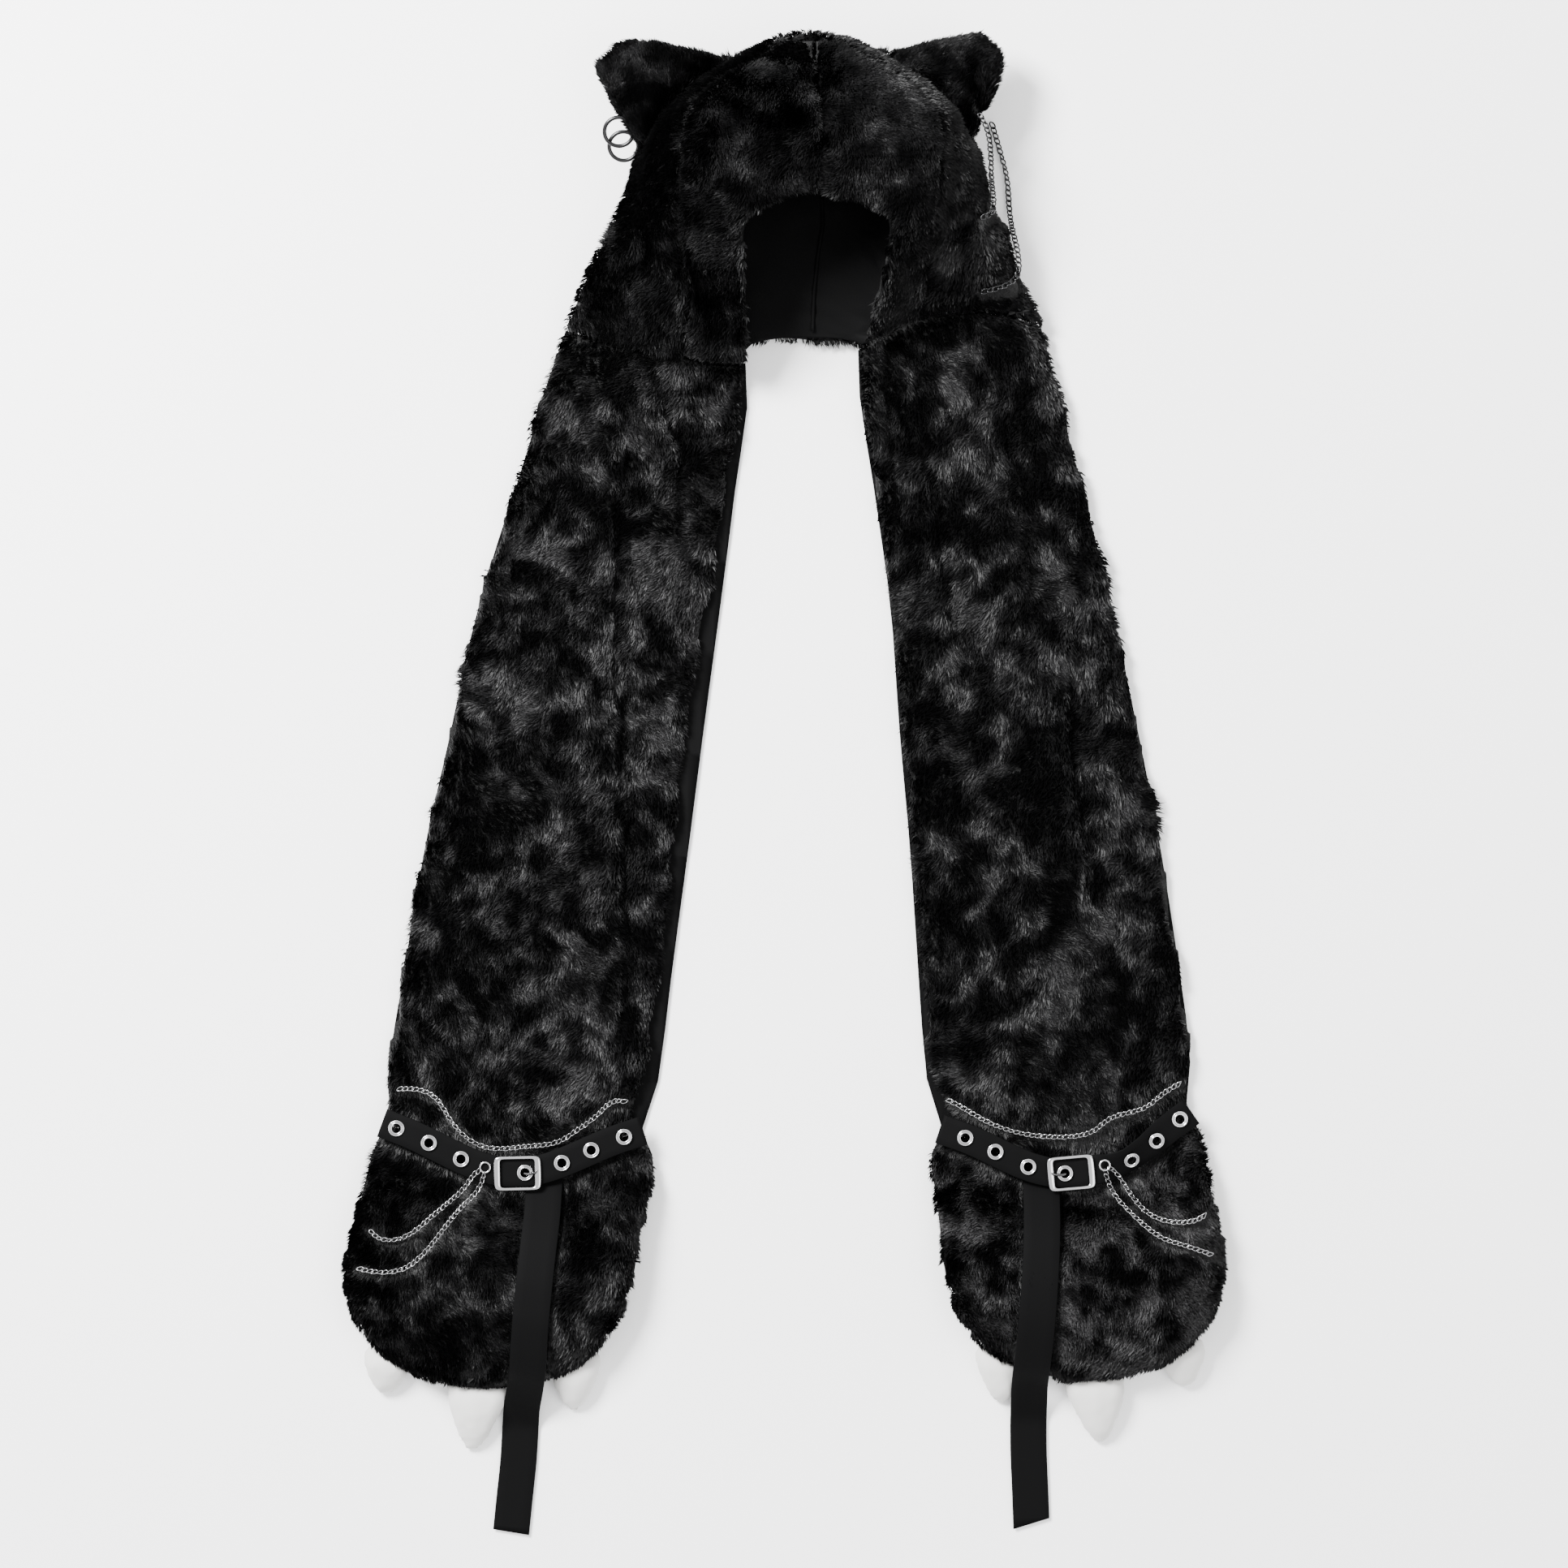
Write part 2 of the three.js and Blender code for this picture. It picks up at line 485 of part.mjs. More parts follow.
// Share of the wrist's sag at a place across it: none at the side seams, all of it in the middle.
const sagShare = (across) => 0.65 * Math.sin(Math.PI * across) ** 2 + 1.4 * across * (1 - across);

// Plan point on the line of the wrist strap.
function wristPoint(side, across) {
  const { out, wrist, wristTilt, wristSag, wristSkew } = SIDES[side];
  const away = (across - 0.5) * wristWidth(side);
  const outerHalf = Math.max(0, Math.sin(2 * Math.PI * (across - 0.5)));
  const y = wrist.y + wristTilt * away - wristSag * sagShare(across - wristSkew * outerHalf);
  return new THREE.Vector2(wrist.x + out * away, y);
}

// Plan point of the panel, u from neck to wrist and across from the inner edge to the outer one.
function scarfPlan(side, u, across) {
  const { out, wrist, bow } = SIDES[side];
  const neckX = neckMiddle + (out * (NECK_HALF_OPENING + HOOD_HALF_WIDTH)) / 2;
  const neckMidY = (neckY(side, 0) + neckY(side, 1)) / 2;
  const start = smoothstep(1 - u, 0.82, 1);
  const end = smoothstep(u, 0.74, 1);
  const neckShare = start * (neckY(side, across) - neckMidY);
  const wristShare = end * (wristPoint(side, across).y - wrist.y);
  const y = lerp(neckMidY, wrist.y, u) + neckShare + wristShare;
  const away = bow * scarf.bow(u) + (across - 0.5) * SCARF_WIDTH * scarf[side](u);
  const x = lerp(neckX, wrist.x, u) + out * away;
  return new THREE.Vector2(x, y);
}

function foldRise(side, u, across) {
  let rise = 0;
  for (const fold of FOLDS[side]) {
    const k = (u - fold.from) / (fold.to - fold.from);
    if (k <= 0 || k >= 1) continue;
    const off = (across - lerp(fold.acrossFrom, fold.acrossTo, k)) / fold.breadth;
    rise += fold.rise * SCARF_HEIGHT * Math.sin(Math.PI * k) ** 0.6 * Math.exp(-off * off);
  }
  return rise * cushion(across);
}

function furTop(side, u, across) {
  const height = SCARF_HEIGHT * scarf.height(u);
  return FLOOR + SCARF_EDGE + (height - FLOOR - SCARF_EDGE) * cushion(across) + foldRise(side, u, across);
}

function furPoint(side, u, across, z) {
  const lap = scarf[`${side}Lap`](u);
  const plan = scarfPlan(side, u, lerp(lap, 1, across));
  const edge = across === 0 ? -1 : across === 1 ? 1 : 0;
  const tuft = edge * TUFT * 0.5 * Math.cos(Math.PI * Math.round(u * SCARF_STEPS));
  return new THREE.Vector3(plan.x + SIDES[side].out * tuft * (u > 0 && u < 1 ? 1 : 0), plan.y, z);
}

// Plan outline of a whole scarf end, from the neck down its inner edge and back up the outer one.
function panelOutline(side, count = 16) {
  const edge = steps(count);
  return [
    ...edge.map((u) => scarfPlan(side, u, 0)),
    ...edge.slice(1, -1).map((v) => scarfPlan(side, 1, v)),
    ...edge.map((u) => scarfPlan(side, 1 - u, 1)),
    ...edge.slice(1, -1).map((v) => scarfPlan(side, 0, 1 - v)),
  ];
}

// Hood pieces, trimmed where the scarf ends are sewn on. A station is a half and a place across it.
const frontOf = (side) => steps(4, 0, SEAM - SEAM_GAP).map((c) => ({ side, c }));
const backOf = (side) => steps(7, SEAM + SEAM_GAP, CENTRE_BACK).map((c) => ({ side, c }));
const BACK_STATIONS = [...backOf('left'), ...backOf('right').slice(0, -1).reverse()];
const ALL_STATIONS = [...frontOf('left'), ...BACK_STATIONS, ...frontOf('right').reverse()];
const napeCutter = wasm.Manifold.cube([2 * NECK_HALF_OPENING, HOOD_LENGTH, 2 * HOOD_DEPTH], true)
  .translate([neckMiddle, HOOD_CROWN.y - NAPE_LENGTH - HOOD_LENGTH / 2, 0]);
const scarfCutters = ['left', 'right'].map((side) =>
  sheet(panelOutline(side, 10), -5, HOOD_DEPTH, [], 2 * GAP));
const neckCutters = [napeCutter, ...scarfCutters];

function hoodPiece(stations, levels, from, to) {
  const outside = (s, t) => hoodPoint(s.side, t, s.c, from);
  const inside = (s, t) => hoodPoint(s.side, t, s.c, to);
  const shell = wall(stations, levels, outside, inside);
  return geometryOf(cutAway(solid(shell), neckCutters).simplify(0.1));
}

const LINING_INSET = FUR_WALL + 3 * GAP;
add('hood_front_left', hoodPiece(frontOf('left'), HOOD_STEPS, 0, FUR_WALL), FUR);
add('hood_front_right', hoodPiece(frontOf('right'), HOOD_STEPS, 0, FUR_WALL), FUR);
add('hood_back', hoodPiece(BACK_STATIONS, HOOD_STEPS, 0, FUR_WALL), FUR);
const liningShell = hoodPiece(ALL_STATIONS, HOOD_STEPS.slice(2), LINING_INSET, LINING_INSET + LINING_WALL);
add('hood_lining', liningShell, SMOOTH_CLOTH);

// The hood's whole outside as one body, for cutting what sits against it.
const hoodBulk = solid(skin(HOOD_STEPS.map((t) => ALL_STATIONS.map((s) => hoodPoint(s.side, t, s.c, -0.6)))));

const PANEL_ACROSS = [0, 0.06, 0.17, 0.29, 0.41, 0.53, 0.65, 0.77, 0.88, 1];
for (const side of ['left', 'right']) {
  add(`scarf_${side}`, wall(steps(SCARF_STEPS), PANEL_ACROSS,
    (u, v) => furPoint(side, u, v, furTop(side, u, v)),
    (u, v) => furPoint(side, u, v, Math.max(FLOOR, furTop(side, u, v) - PANEL_WALL))), FUR);

  add(`backing_${side}`, geometryOf(sheet(panelOutline(side), 0, LINING_WALL)), SMOOTH_CLOTH);
}

// Mitts
function mittPlan(side, u, across) {
  const { out, wrist, mittShare, mittLean } = SIDES[side];
  const width = lerp(wristWidth(side), MITT_WIDTH * mittShare, mitt.swell(u));
  const rounded = (1 - Math.abs(2 * across - 1) ** 2.3) ** 0.55;
  const endY = wrist.y - MITT_LENGTH - MITT_ROUND * rounded;
  return new THREE.Vector2(
    wrist.x + out * (mittLean * mitt.lean(u) + (across - 0.5) * width),
    lerp(wristPoint(side, across).y - WRIST_GAP, endY, u));
}

function mittTop(u, across) {
  return FLOOR + MITT_RIM + (MITT_HEIGHT * mitt.height(u) - FLOOR - MITT_RIM) * cushion(across);
}

const MITT_STEPS = [0, 0.13, 0.19, 0.27, 0.38, 0.52, 0.66, 0.8, 0.9, 0.96, 1];
const MITT_ACROSS = [0, 0.03, 0.09, 0.18, 0.3, 0.43, 0.57, 0.7, 0.82, 0.91, 0.97, 1];
const mittFloor = FLOOR + 0.1;

function mittOutline(side) {
  return [
    ...MITT_STEPS.map((u) => mittPlan(side, u, 0)),
    ...MITT_ACROSS.slice(1, -1).map((v) => mittPlan(side, 1, v)),
    ...MITT_STEPS.map((u) => mittPlan(side, 1 - u, 1)),
    ...MITT_ACROSS.slice(1, -1).map((v) => mittPlan(side, 0, 1 - v)),
  ];
}

for (const side of ['left', 'right']) {
  const { out, wrist, wristSag } = SIDES[side];
  const at = (u, v, z) => {
    const plan = mittPlan(side, u, v);
    return new THREE.Vector3(plan.x, plan.y, z);
  };
  add(`mitt_${side}`, wall(MITT_STEPS, MITT_ACROSS,
    (u, v) => at(u, v, mittTop(u, v)),
    (u, v) => at(u, v, Math.max(mittFloor, mittTop(u, v) - FUR_WALL))), FUR);

  const slit = wasm.CrossSection.square([SLIT_LENGTH, SLIT_WIDTH], true)
    .translate([wrist.x + out * 2, wrist.y - wristSag - SLIT_FROM_WRIST]);
  add(`palm_${side}`, geometryOf(sheet(mittOutline(side), 0, LINING_WALL, [slit])), SMOOTH_CLOTH);

  const clear = sheet(mittOutline(side), -5, MITT_HEIGHT + 20, [], GAP);
  for (const claw of CLAWS) {
    const read = columns(CLAW_ROWS);
    const root = mittPlan(side, 1, claw.across);
    const loops = steps(6).map((s) => {
      const thick = 0.5 * CLAW_THICKNESS * read.thick(s);
      const x = root.x + out * claw.drift * s;
      const y = root.y + CLAW_ROOT - (claw.length + CLAW_ROOT) * s;
      return steps(8).slice(0, -1).map((k) => {
        const angle = 2 * Math.PI * k;
        const away = 0.5 * claw.width * read.width(s) * Math.cos(angle);
        return new THREE.Vector3(x + away, y, thick + thick * Math.sin(angle) + 0.2);
      });
    });
    add(`claw_${claw.name}_${side}`, geometryOf(cutAway(solid(skin(loops)), [clear])), CLAW_CLOTH);
  }
}

// Ears
const fromCrown = ([out, down]) => [HOOD_CROWN.x + out * HOOD_HALF_WIDTH, HOOD_CROWN.y - down];
for (const side of ['left', 'right']) {
  const ear = EARS[side];
  const read = columns(EAR_ROWS);
  const inner = new THREE.Vector3(...fromCrown(ear.rootInner), ear.rootUp);
  const outer = new THREE.Vector3(...fromCrown(ear.rootOuter), ear.rootUp);
  const tip = new THREE.Vector3(...fromCrown(ear.tip), ear.tipUp);
  const root = inner.clone().add(outer).multiplyScalar(0.5);
  const half = inner.clone().sub(outer).multiplyScalar(0.5);
  const loops = EAR_ROWS.map((row) => steps(12).slice(0, -1).map((k) => {
    const angle = 2 * Math.PI * k;
    const p = root.clone().lerp(tip, row.at);
    p.addScaledVector(half, read.width(row.at) * Math.sign(Math.cos(angle)) * Math.abs(Math.cos(angle)) ** 0.8);
    p.z += 0.5 * EAR_THICKNESS * read.thick(row.at) * Math.sin(angle);
    return p;
  }));
  ear.body = cutAway(solid(skin(loops)), [hoodBulk]);
}

// Hoops through the left ear, each in a channel of its own.
for (const ring of EAR_RINGS) {
  const placed = (wire) => new THREE.TorusGeometry(EAR_RING_RADIUS, wire, 5, 16)
    .rotateX(ring.tilt)
    .translate(...fromCrown(ring.place), ring.up);
  EARS.left.body = cutAway(EARS.left.body, [solid(placed(EAR_RING_WIRE + GAP))]);
  add(ring.name, placed(EAR_RING_WIRE), METAL);
}
add('ear_left', geometryOf(EARS.left.body), FUR);
add('ear_right', geometryOf(EARS.right.body), FUR);

// Wrist straps
const rolls = columns(STRAP_ROLLS);

// Place and directions of the strap at a share of the wrist: along it, across it and up off it.
function strapFrame(side, across) {
  const clamped = clamp(across, 0, 1);
  const edge = FLOOR + SCARF_EDGE + MITT_RIM * 0.5;
  const top = edge + (WRIST_HEIGHT - edge) * cushion(clamped);
  const roll = THREE.MathUtils.degToRad(rolls[side](across));
  const plan = wristPoint(side, across);
  const along = wristPoint(side, across + 0.01).sub(wristPoint(side, across - 0.01)).normalize();
  const x = new THREE.Vector3(along.x, along.y, 0);
  const up = new THREE.Vector3(0, 0, 1);
  const y = new THREE.Vector3().crossVectors(up, x).normalize();
  y.applyAxisAngle(x, roll);
  up.applyAxisAngle(x, roll);
  const lift = 0.5 * STRAP_WIDTH * Math.abs(Math.sin(roll));
  return new THREE.Matrix4().makeBasis(x, y, up).setPosition(plan.x, plan.y, top + STRAP_LIFT + lift);
}

function roundedRectangle(length, height, radius, ShapeKind = THREE.Shape) {
  const shape = new ShapeKind();
  const [a, b] = [length / 2, height / 2];
  shape.moveTo(-a + radius, -b);
  shape.lineTo(a - radius, -b);
  shape.absarc(a - radius, -b + radius, radius, -Math.PI / 2, 0);
  shape.lineTo(a, b - radius);
  shape.absarc(a - radius, b - radius, radius, 0, Math.PI / 2);
  shape.lineTo(-a + radius, b);
  shape.absarc(-a + radius, b - radius, radius, Math.PI / 2, Math.PI);
  shape.lineTo(-a, -b + radius);
  shape.absarc(-a + radius, -b + radius, radius, Math.PI, 1.5 * Math.PI);
  return shape;
}

for (const side of ['left', 'right']) {
  const at = (across, y, z) => new THREE.Vector3(0, y, z).applyMatrix4(strapFrame(side, across));
  const band = wall(steps(16, -STRAP_OVERHANG, 1 + STRAP_OVERHANG), [-0.5, 0.5],
    (u, v) => at(u, v * STRAP_WIDTH, STRAP_THICKNESS),
    (u, v) => at(u, v * STRAP_WIDTH, 0));
  let strap = solid(band);
  EYELET_PLACES[side].forEach((place, i) => {
    const frame = strapFrame(side, place);
    const room = EYELET_BARREL + EYELET_CLEARANCE;
    const hole = new THREE.CylinderGeometry(room, room, 12, 8).rotateX(Math.PI / 2);
    strap = strap.subtract(solid(hole.applyMatrix4(frame)));
    const rim = STRAP_THICKNESS + 2.5 * GAP;
    const profile = [
      [EYELET_BORE, -0.5],
      [EYELET_BARREL, -0.5],
      [EYELET_BARREL, rim],
      [EYELET_FLANGE, rim],
      [EYELET_BORE, rim + EYELET_RISE],
      [EYELET_BORE, -0.5],
    ].map(([x, y]) => new THREE.Vector2(x, y));
    const eyelet = new THREE.LatheGeometry(profile, EYELET_SIDES).rotateX(Math.PI / 2);
    add(`eyelet_${side}_${i + 1}`, geometryOf(solid(eyelet.applyMatrix4(frame))), METAL);
  });
  add(`wrist_strap_${side}`, geometryOf(strap), WEBBING);

  const buckle = roundedRectangle(BUCKLE_LENGTH, BUCKLE_HEIGHT, 3);
  const windowLength = BUCKLE_LENGTH - 2 * BUCKLE_END_BAR;
  const windowHeight = BUCKLE_HEIGHT - 2 * BUCKLE_SIDE_BAR;
  buckle.holes.push(roundedRectangle(windowLength, windowHeight, 1.6, THREE.Path));
  const buckleUp = STRAP_THICKNESS + 2 * GAP;
  const frame = new THREE.ExtrudeGeometry(buckle, {
    depth: BUCKLE_THICKNESS, bevelEnabled: false, curveSegments: 2,
  });
  frame.translate(0, 0, buckleUp).applyMatrix4(strapFrame(side, BUCKLE_PLACE[side]));
  add(`buckle_frame_${side}`, geometryOf(solid(frame)), METAL);

  // The prong rises from its eyelet and lies on the bar nearer the middle of the body.
  const eyeletAt = new THREE.Vector3(0, 0, 1).applyMatrix4(strapFrame(side, EYELET_PLACES[side][3]));
  const barPlace = BUCKLE_PLACE[side] - (0.5 * BUCKLE_LENGTH - 0.4 * BUCKLE_END_BAR) / wristWidth(side);
  const barTop = buckleUp + BUCKLE_THICKNESS + GAP + PRONG_RADIUS + 0.2;
  const barAt = new THREE.Vector3(0, 0, barTop).applyMatrix4(strapFrame(side, barPlace));
  const rise = eyeletAt.clone().lerp(barAt, 0.35);
  rise.z = barAt.z + 0.3;
  const prongPath = new THREE.CatmullRomCurve3([eyeletAt, rise, barAt]);
  add(`buckle_prong_${side}`, tube(prongPath, PRONG_RADIUS, 6, 4), METAL);

  const ring = new THREE.TorusGeometry(JUMP_RING_RADIUS, JUMP_RING_WIRE, 5, 10);
  const [ringOut, ringAlong] = JUMP_RING_PLACE[side];
  const spot = [SIDES[side].wrist.x + SIDES[side].out * ringOut, SIDES[side].wrist.y + ringAlong];
  layout.updateMatrixWorld(true);
  const lies = restHeight(spot[0], spot[1], JUMP_RING_RADIUS + JUMP_RING_WIRE, 8);
  ring.translate(...spot, lies + JUMP_RING_WIRE + GAP);
  add(`jump_ring_${side}`, ring, METAL);
}

// A round rod of the given number of sides along a curve.
function tube(path, radius, sides, count) {
  const ring = new THREE.Shape(steps(sides).slice(0, -1).map((k) => {
    const angle = 2 * Math.PI * k;
    return new THREE.Vector2(radius * Math.cos(angle), radius * Math.sin(angle));
  }));
  const swept = new THREE.ExtrudeGeometry(ring, { steps: count, extrudePath: path, bevelEnabled: false });
  return geometryOf(solid(swept));
}

// Highest point of all that is built so far under a round spot.
function restHeight(x, y, radius, spokes, radiusAlong = radius, drop = 0) {
  const down = new THREE.Raycaster();
  const under = (px, py) => {
    down.set(new THREE.Vector3(px, py, 2 * HOOD_DEPTH), new THREE.Vector3(0, 0, -1));
    const hit = down.intersectObjects(layout.children, false)[0];
    return hit ? hit.point.z : 0;
  };
  const around = steps(spokes).slice(0, -1).map((k) => {
    const angle = 2 * Math.PI * k;
    return under(x + radius * Math.cos(angle), y + radiusAlong * Math.sin(angle)) - drop;
  });
  return Math.max(under(x, y), ...around);
}

const planCurve = (route) => {
  const points = route.map(([x, y]) => new THREE.Vector3(x, y, 0));
  return new THREE.CatmullRomCurve3(points, false, 'centripetal');
};

// Plan points spaced along a route, each lifted to lie on what is under it without bending tighter
// than the bend radius. radius is half the width that lies down, across X and along Y.
function laid(route, count, radius, bend, lift, drop = 0) {
  const fine = planCurve(route).getSpacedPoints(count * 2);
  const heights = fine.map((p) => restHeight(p.x, p.y, radius[0], 8, radius[1], drop));
  return fine.map((p, i) => {
    const z = Math.max(...fine.map((q, j) => heights[j] - p.distanceTo(q) ** 2 / (2 * bend)));
    return new THREE.Vector3(p.x, p.y, z + lift);
  }).filter((_, i) => i % 2 === 0);
}

// Long tails
const fromWrist = (side) => ([away, along]) =>
  [SIDES[side].wrist.x + SIDES[side].out * away, SIDES[side].wrist.y + along];
for (const side of ['left', 'right']) {
  const band = layout.children.filter((mesh) => /strap|eyelet|buckle|jump/.test(mesh.name));
  band.forEach((mesh) => layout.remove(mesh));
  const middle = laid(TAIL_ROUTES[side].map(fromWrist(side)), 20, [0.52 * TAIL_WIDTH, 1], TAIL_BEND, 2.5 * GAP);
  band.forEach((mesh) => layout.add(mesh));
  const width = (i) => {
    const ahead = middle[Math.min(i + 1, middle.length - 1)].clone().sub(middle[Math.max(i - 1, 0)]);
    return new THREE.Vector3(ahead.y, -ahead.x, 0).normalize().multiplyScalar(0.5 * TAIL_WIDTH);
  };
  const tail = wall(middle.map((_, i) => i), [-1, 1],
    (i, v) => middle[i].clone().addScaledVector(width(i), v).add(new THREE.Vector3(0, 0, TAIL_THICKNESS)),
    (i, v) => middle[i].clone().addScaledVector(width(i), v));
  add(`tail_strap_${side}`, tail, WEBBING);
}

// Chains, each a rod of the chain's own width
function chain(name, route) {
  const count = Math.round(planCurve(route).getLength() / CHAIN_STEP);
  const radius = 0.5 * CHAIN_DIAMETER;
  const lift = radius + 1.4 * GAP;
  const drop = lift - Math.sqrt(lift ** 2 - radius ** 2);
  const points = laid(route, count, [radius, radius], 20, lift, drop);
  const path = new THREE.CatmullRomCurve3(points, false, 'centripetal');
  return add(name, tube(path, radius, CHAIN_SIDES, count), METAL);
}

for (const { name, route } of EAR_CHAINS) chain(name, route.map(fromCrown));
for (const side of ['left', 'right']) {
  for (const { name, route } of WRIST_CHAINS[side]) chain(`chain_${name}_${side}`, route.map(fromWrist(side)));
}

// Origin at the middle of the outline, on the table
const box = new THREE.Box3().setFromObject(layout);
layout.position.set(-(box.min.x + box.max.x) / 2, -(box.min.y + box.max.y) / 2, -box.min.z);

const group = new THREE.Group();
group.add(layout);
export default group;
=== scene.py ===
import math

import bpy
import bmesh
import numpy as np
from mathutils import Matrix, Vector, noise


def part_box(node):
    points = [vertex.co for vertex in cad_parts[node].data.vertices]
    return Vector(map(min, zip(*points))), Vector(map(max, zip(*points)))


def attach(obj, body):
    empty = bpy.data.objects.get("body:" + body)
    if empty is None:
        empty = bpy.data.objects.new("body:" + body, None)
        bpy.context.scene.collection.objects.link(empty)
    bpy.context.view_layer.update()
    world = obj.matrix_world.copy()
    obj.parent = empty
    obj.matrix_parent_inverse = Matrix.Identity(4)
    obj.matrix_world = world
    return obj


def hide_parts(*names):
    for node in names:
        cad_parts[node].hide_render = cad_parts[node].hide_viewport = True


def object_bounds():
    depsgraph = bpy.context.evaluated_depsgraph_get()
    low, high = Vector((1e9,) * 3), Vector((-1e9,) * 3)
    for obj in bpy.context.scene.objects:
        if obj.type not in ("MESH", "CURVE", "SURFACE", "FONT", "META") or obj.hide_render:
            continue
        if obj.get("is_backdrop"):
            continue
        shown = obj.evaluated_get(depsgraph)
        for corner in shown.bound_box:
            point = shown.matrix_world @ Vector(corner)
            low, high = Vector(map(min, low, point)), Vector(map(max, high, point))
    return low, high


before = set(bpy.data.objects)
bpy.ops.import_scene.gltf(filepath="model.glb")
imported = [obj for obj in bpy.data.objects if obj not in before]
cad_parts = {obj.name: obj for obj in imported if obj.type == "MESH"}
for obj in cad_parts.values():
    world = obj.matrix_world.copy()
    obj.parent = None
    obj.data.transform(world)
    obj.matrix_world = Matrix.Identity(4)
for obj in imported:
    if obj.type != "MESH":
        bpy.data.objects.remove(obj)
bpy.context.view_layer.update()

# Camera, light and table.
# The photograph looks straight down on a white table. One big soft light stands at the upper left
# and pale walls all round fill the shadows.
camera = bpy.data.objects.new("camera", bpy.data.cameras.new("camera"))
camera.data.lens = 100
camera.data.sensor_width = 36
camera_height = 3.05
camera.location = (0.0, 0.0024, camera_height)
bpy.context.collection.objects.link(camera)
bpy.context.scene.camera = camera


def soft_light(name, place, size, power):
    """A square light of the given size at place, aimed at the middle of the table."""
    lamp = bpy.data.lights.new(name, "AREA")
    lamp.size = size
    lamp.energy = power
    holder = bpy.data.objects.new(name, lamp)
    holder.location = place
    holder.rotation_euler = (-Vector(place)).to_track_quat("-Z", "Y").to_euler()
    bpy.context.collection.objects.link(holder)


soft_light("window_light", place=(-1.5, 1.3, 2.1), size=1.0, power=370)
soft_light("fill_light", place=(1.4, -0.6, 2.4), size=1.6, power=40)
pale_walls = 1.8
world = bpy.data.worlds.new("pale_room")
bpy.context.scene.world = world
world.use_nodes = True
world.node_tree.nodes["Background"].inputs["Color"].default_value = (1, 1, 1, 1)
world.node_tree.nodes["Background"].inputs["Strength"].default_value = pale_walls


def material(name, **values):
    """A new material and its shader, with each named socket of the shader set."""
    made = bpy.data.materials.new(name)
    made.use_nodes = True
    shader = made.node_tree.nodes["Principled BSDF"]
    for socket, value in values.items():
        shader.inputs[socket.replace("_", " ")].default_value = value
    return made, shader


def grain(made, shader, scale, strength, distance, stretch=(1, 1, 1)):
    """Fine surface relief: noise of the given scale in object space, as a bump on the shader."""
    tree = made.node_tree
    place = tree.nodes.new("ShaderNodeTexCoord")
    turn = tree.nodes.new("ShaderNodeMapping")
    turn.inputs["Scale"].default_value = stretch
    speckle = tree.nodes.new("ShaderNodeTexNoise")
    speckle.inputs["Scale"].default_value = scale
    speckle.inputs["Detail"].default_value = 3.0
    relief = tree.nodes.new("ShaderNodeBump")
    relief.inputs["Strength"].default_value = strength
    relief.inputs["Distance"].default_value = distance
    tree.links.new(place.outputs["Object"], turn.inputs["Vector"])
    tree.links.new(turn.outputs["Vector"], speckle.inputs["Vector"])
    tree.links.new(speckle.outputs["Fac"], relief.inputs["Height"])
    tree.links.new(relief.outputs["Normal"], shader.inputs["Normal"])
    return speckle


def shades(made, shader, source, dark, light, start, end):
    """Base colour from dark to light as the source value goes from start to end."""
    ramp = made.node_tree.nodes.new("ShaderNodeValToRGB")
    ramp.color_ramp.elements[0].position = start
    ramp.color_ramp.elements[0].color = (*dark, 1)
    ramp.color_ramp.elements[1].position = end
    ramp.color_ramp.elements[1].color = (*light, 1)
    made.node_tree.links.new(source, ramp.inputs["Fac"])
    made.node_tree.links.new(ramp.outputs["Color"], shader.inputs["Base Color"])


def mesh_piece(name, points, faces, made, smooth=True):
    """A mesh object from whole arrays, its faces all of one length, with one material."""
    mesh = bpy.data.meshes.new(name)
    points = np.asarray(points, dtype=np.float32)
    faces = np.asarray(faces, dtype=np.int32)
    mesh.vertices.add(len(points))
    mesh.vertices.foreach_set("co", points.ravel())
    mesh.loops.add(faces.size)
    mesh.loops.foreach_set("vertex_index", faces.ravel())
    mesh.polygons.add(len(faces))
    mesh.polygons.foreach_set("loop_start", np.arange(len(faces), dtype=np.int32) * faces.shape[1])
    mesh.polygons.foreach_set("use_smooth", np.full(len(faces), smooth))
    mesh.update(calc_edges=True)
    mesh.materials.append(made)
    piece = bpy.data.objects.new(name, mesh)
    bpy.context.collection.objects.link(piece)
    return piece


table_white, shader = material("table_white", Base_Color=(0.92, 0.92, 0.925, 1), Roughness=0.65)
grain(table_white, shader, 60, 0.02, 0.001)
table_half, table_top = 6.0, -0.0006
corners = [(x * table_half, y * table_half, table_top) for x, y in ((-1, -1), (1, -1), (1, 1), (-1, 1))]
mesh_piece("table", corners, [(0, 1, 2, 3)], table_white)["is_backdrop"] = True

# Hood fur.
# Three panels of black plush, two in front and one round the back, sewn inside out and turned. The
# front edge is turned under as a soft roll, which is fatter on one half of the brow.
fur_black, shader = material("fur_black", Base_Color=(0.004, 0.004, 0.0045, 1), Roughness=0.75,
                             Specular_IOR_Level=0.2)
streaks = grain(fur_black, shader, 260, 0.9, 0.003)
shades(fur_black, shader, streaks.outputs["Fac"], dark=(0.0006, 0.0006, 0.0006),
       light=(0.005, 0.005, 0.0052), start=0.4, end=0.75)

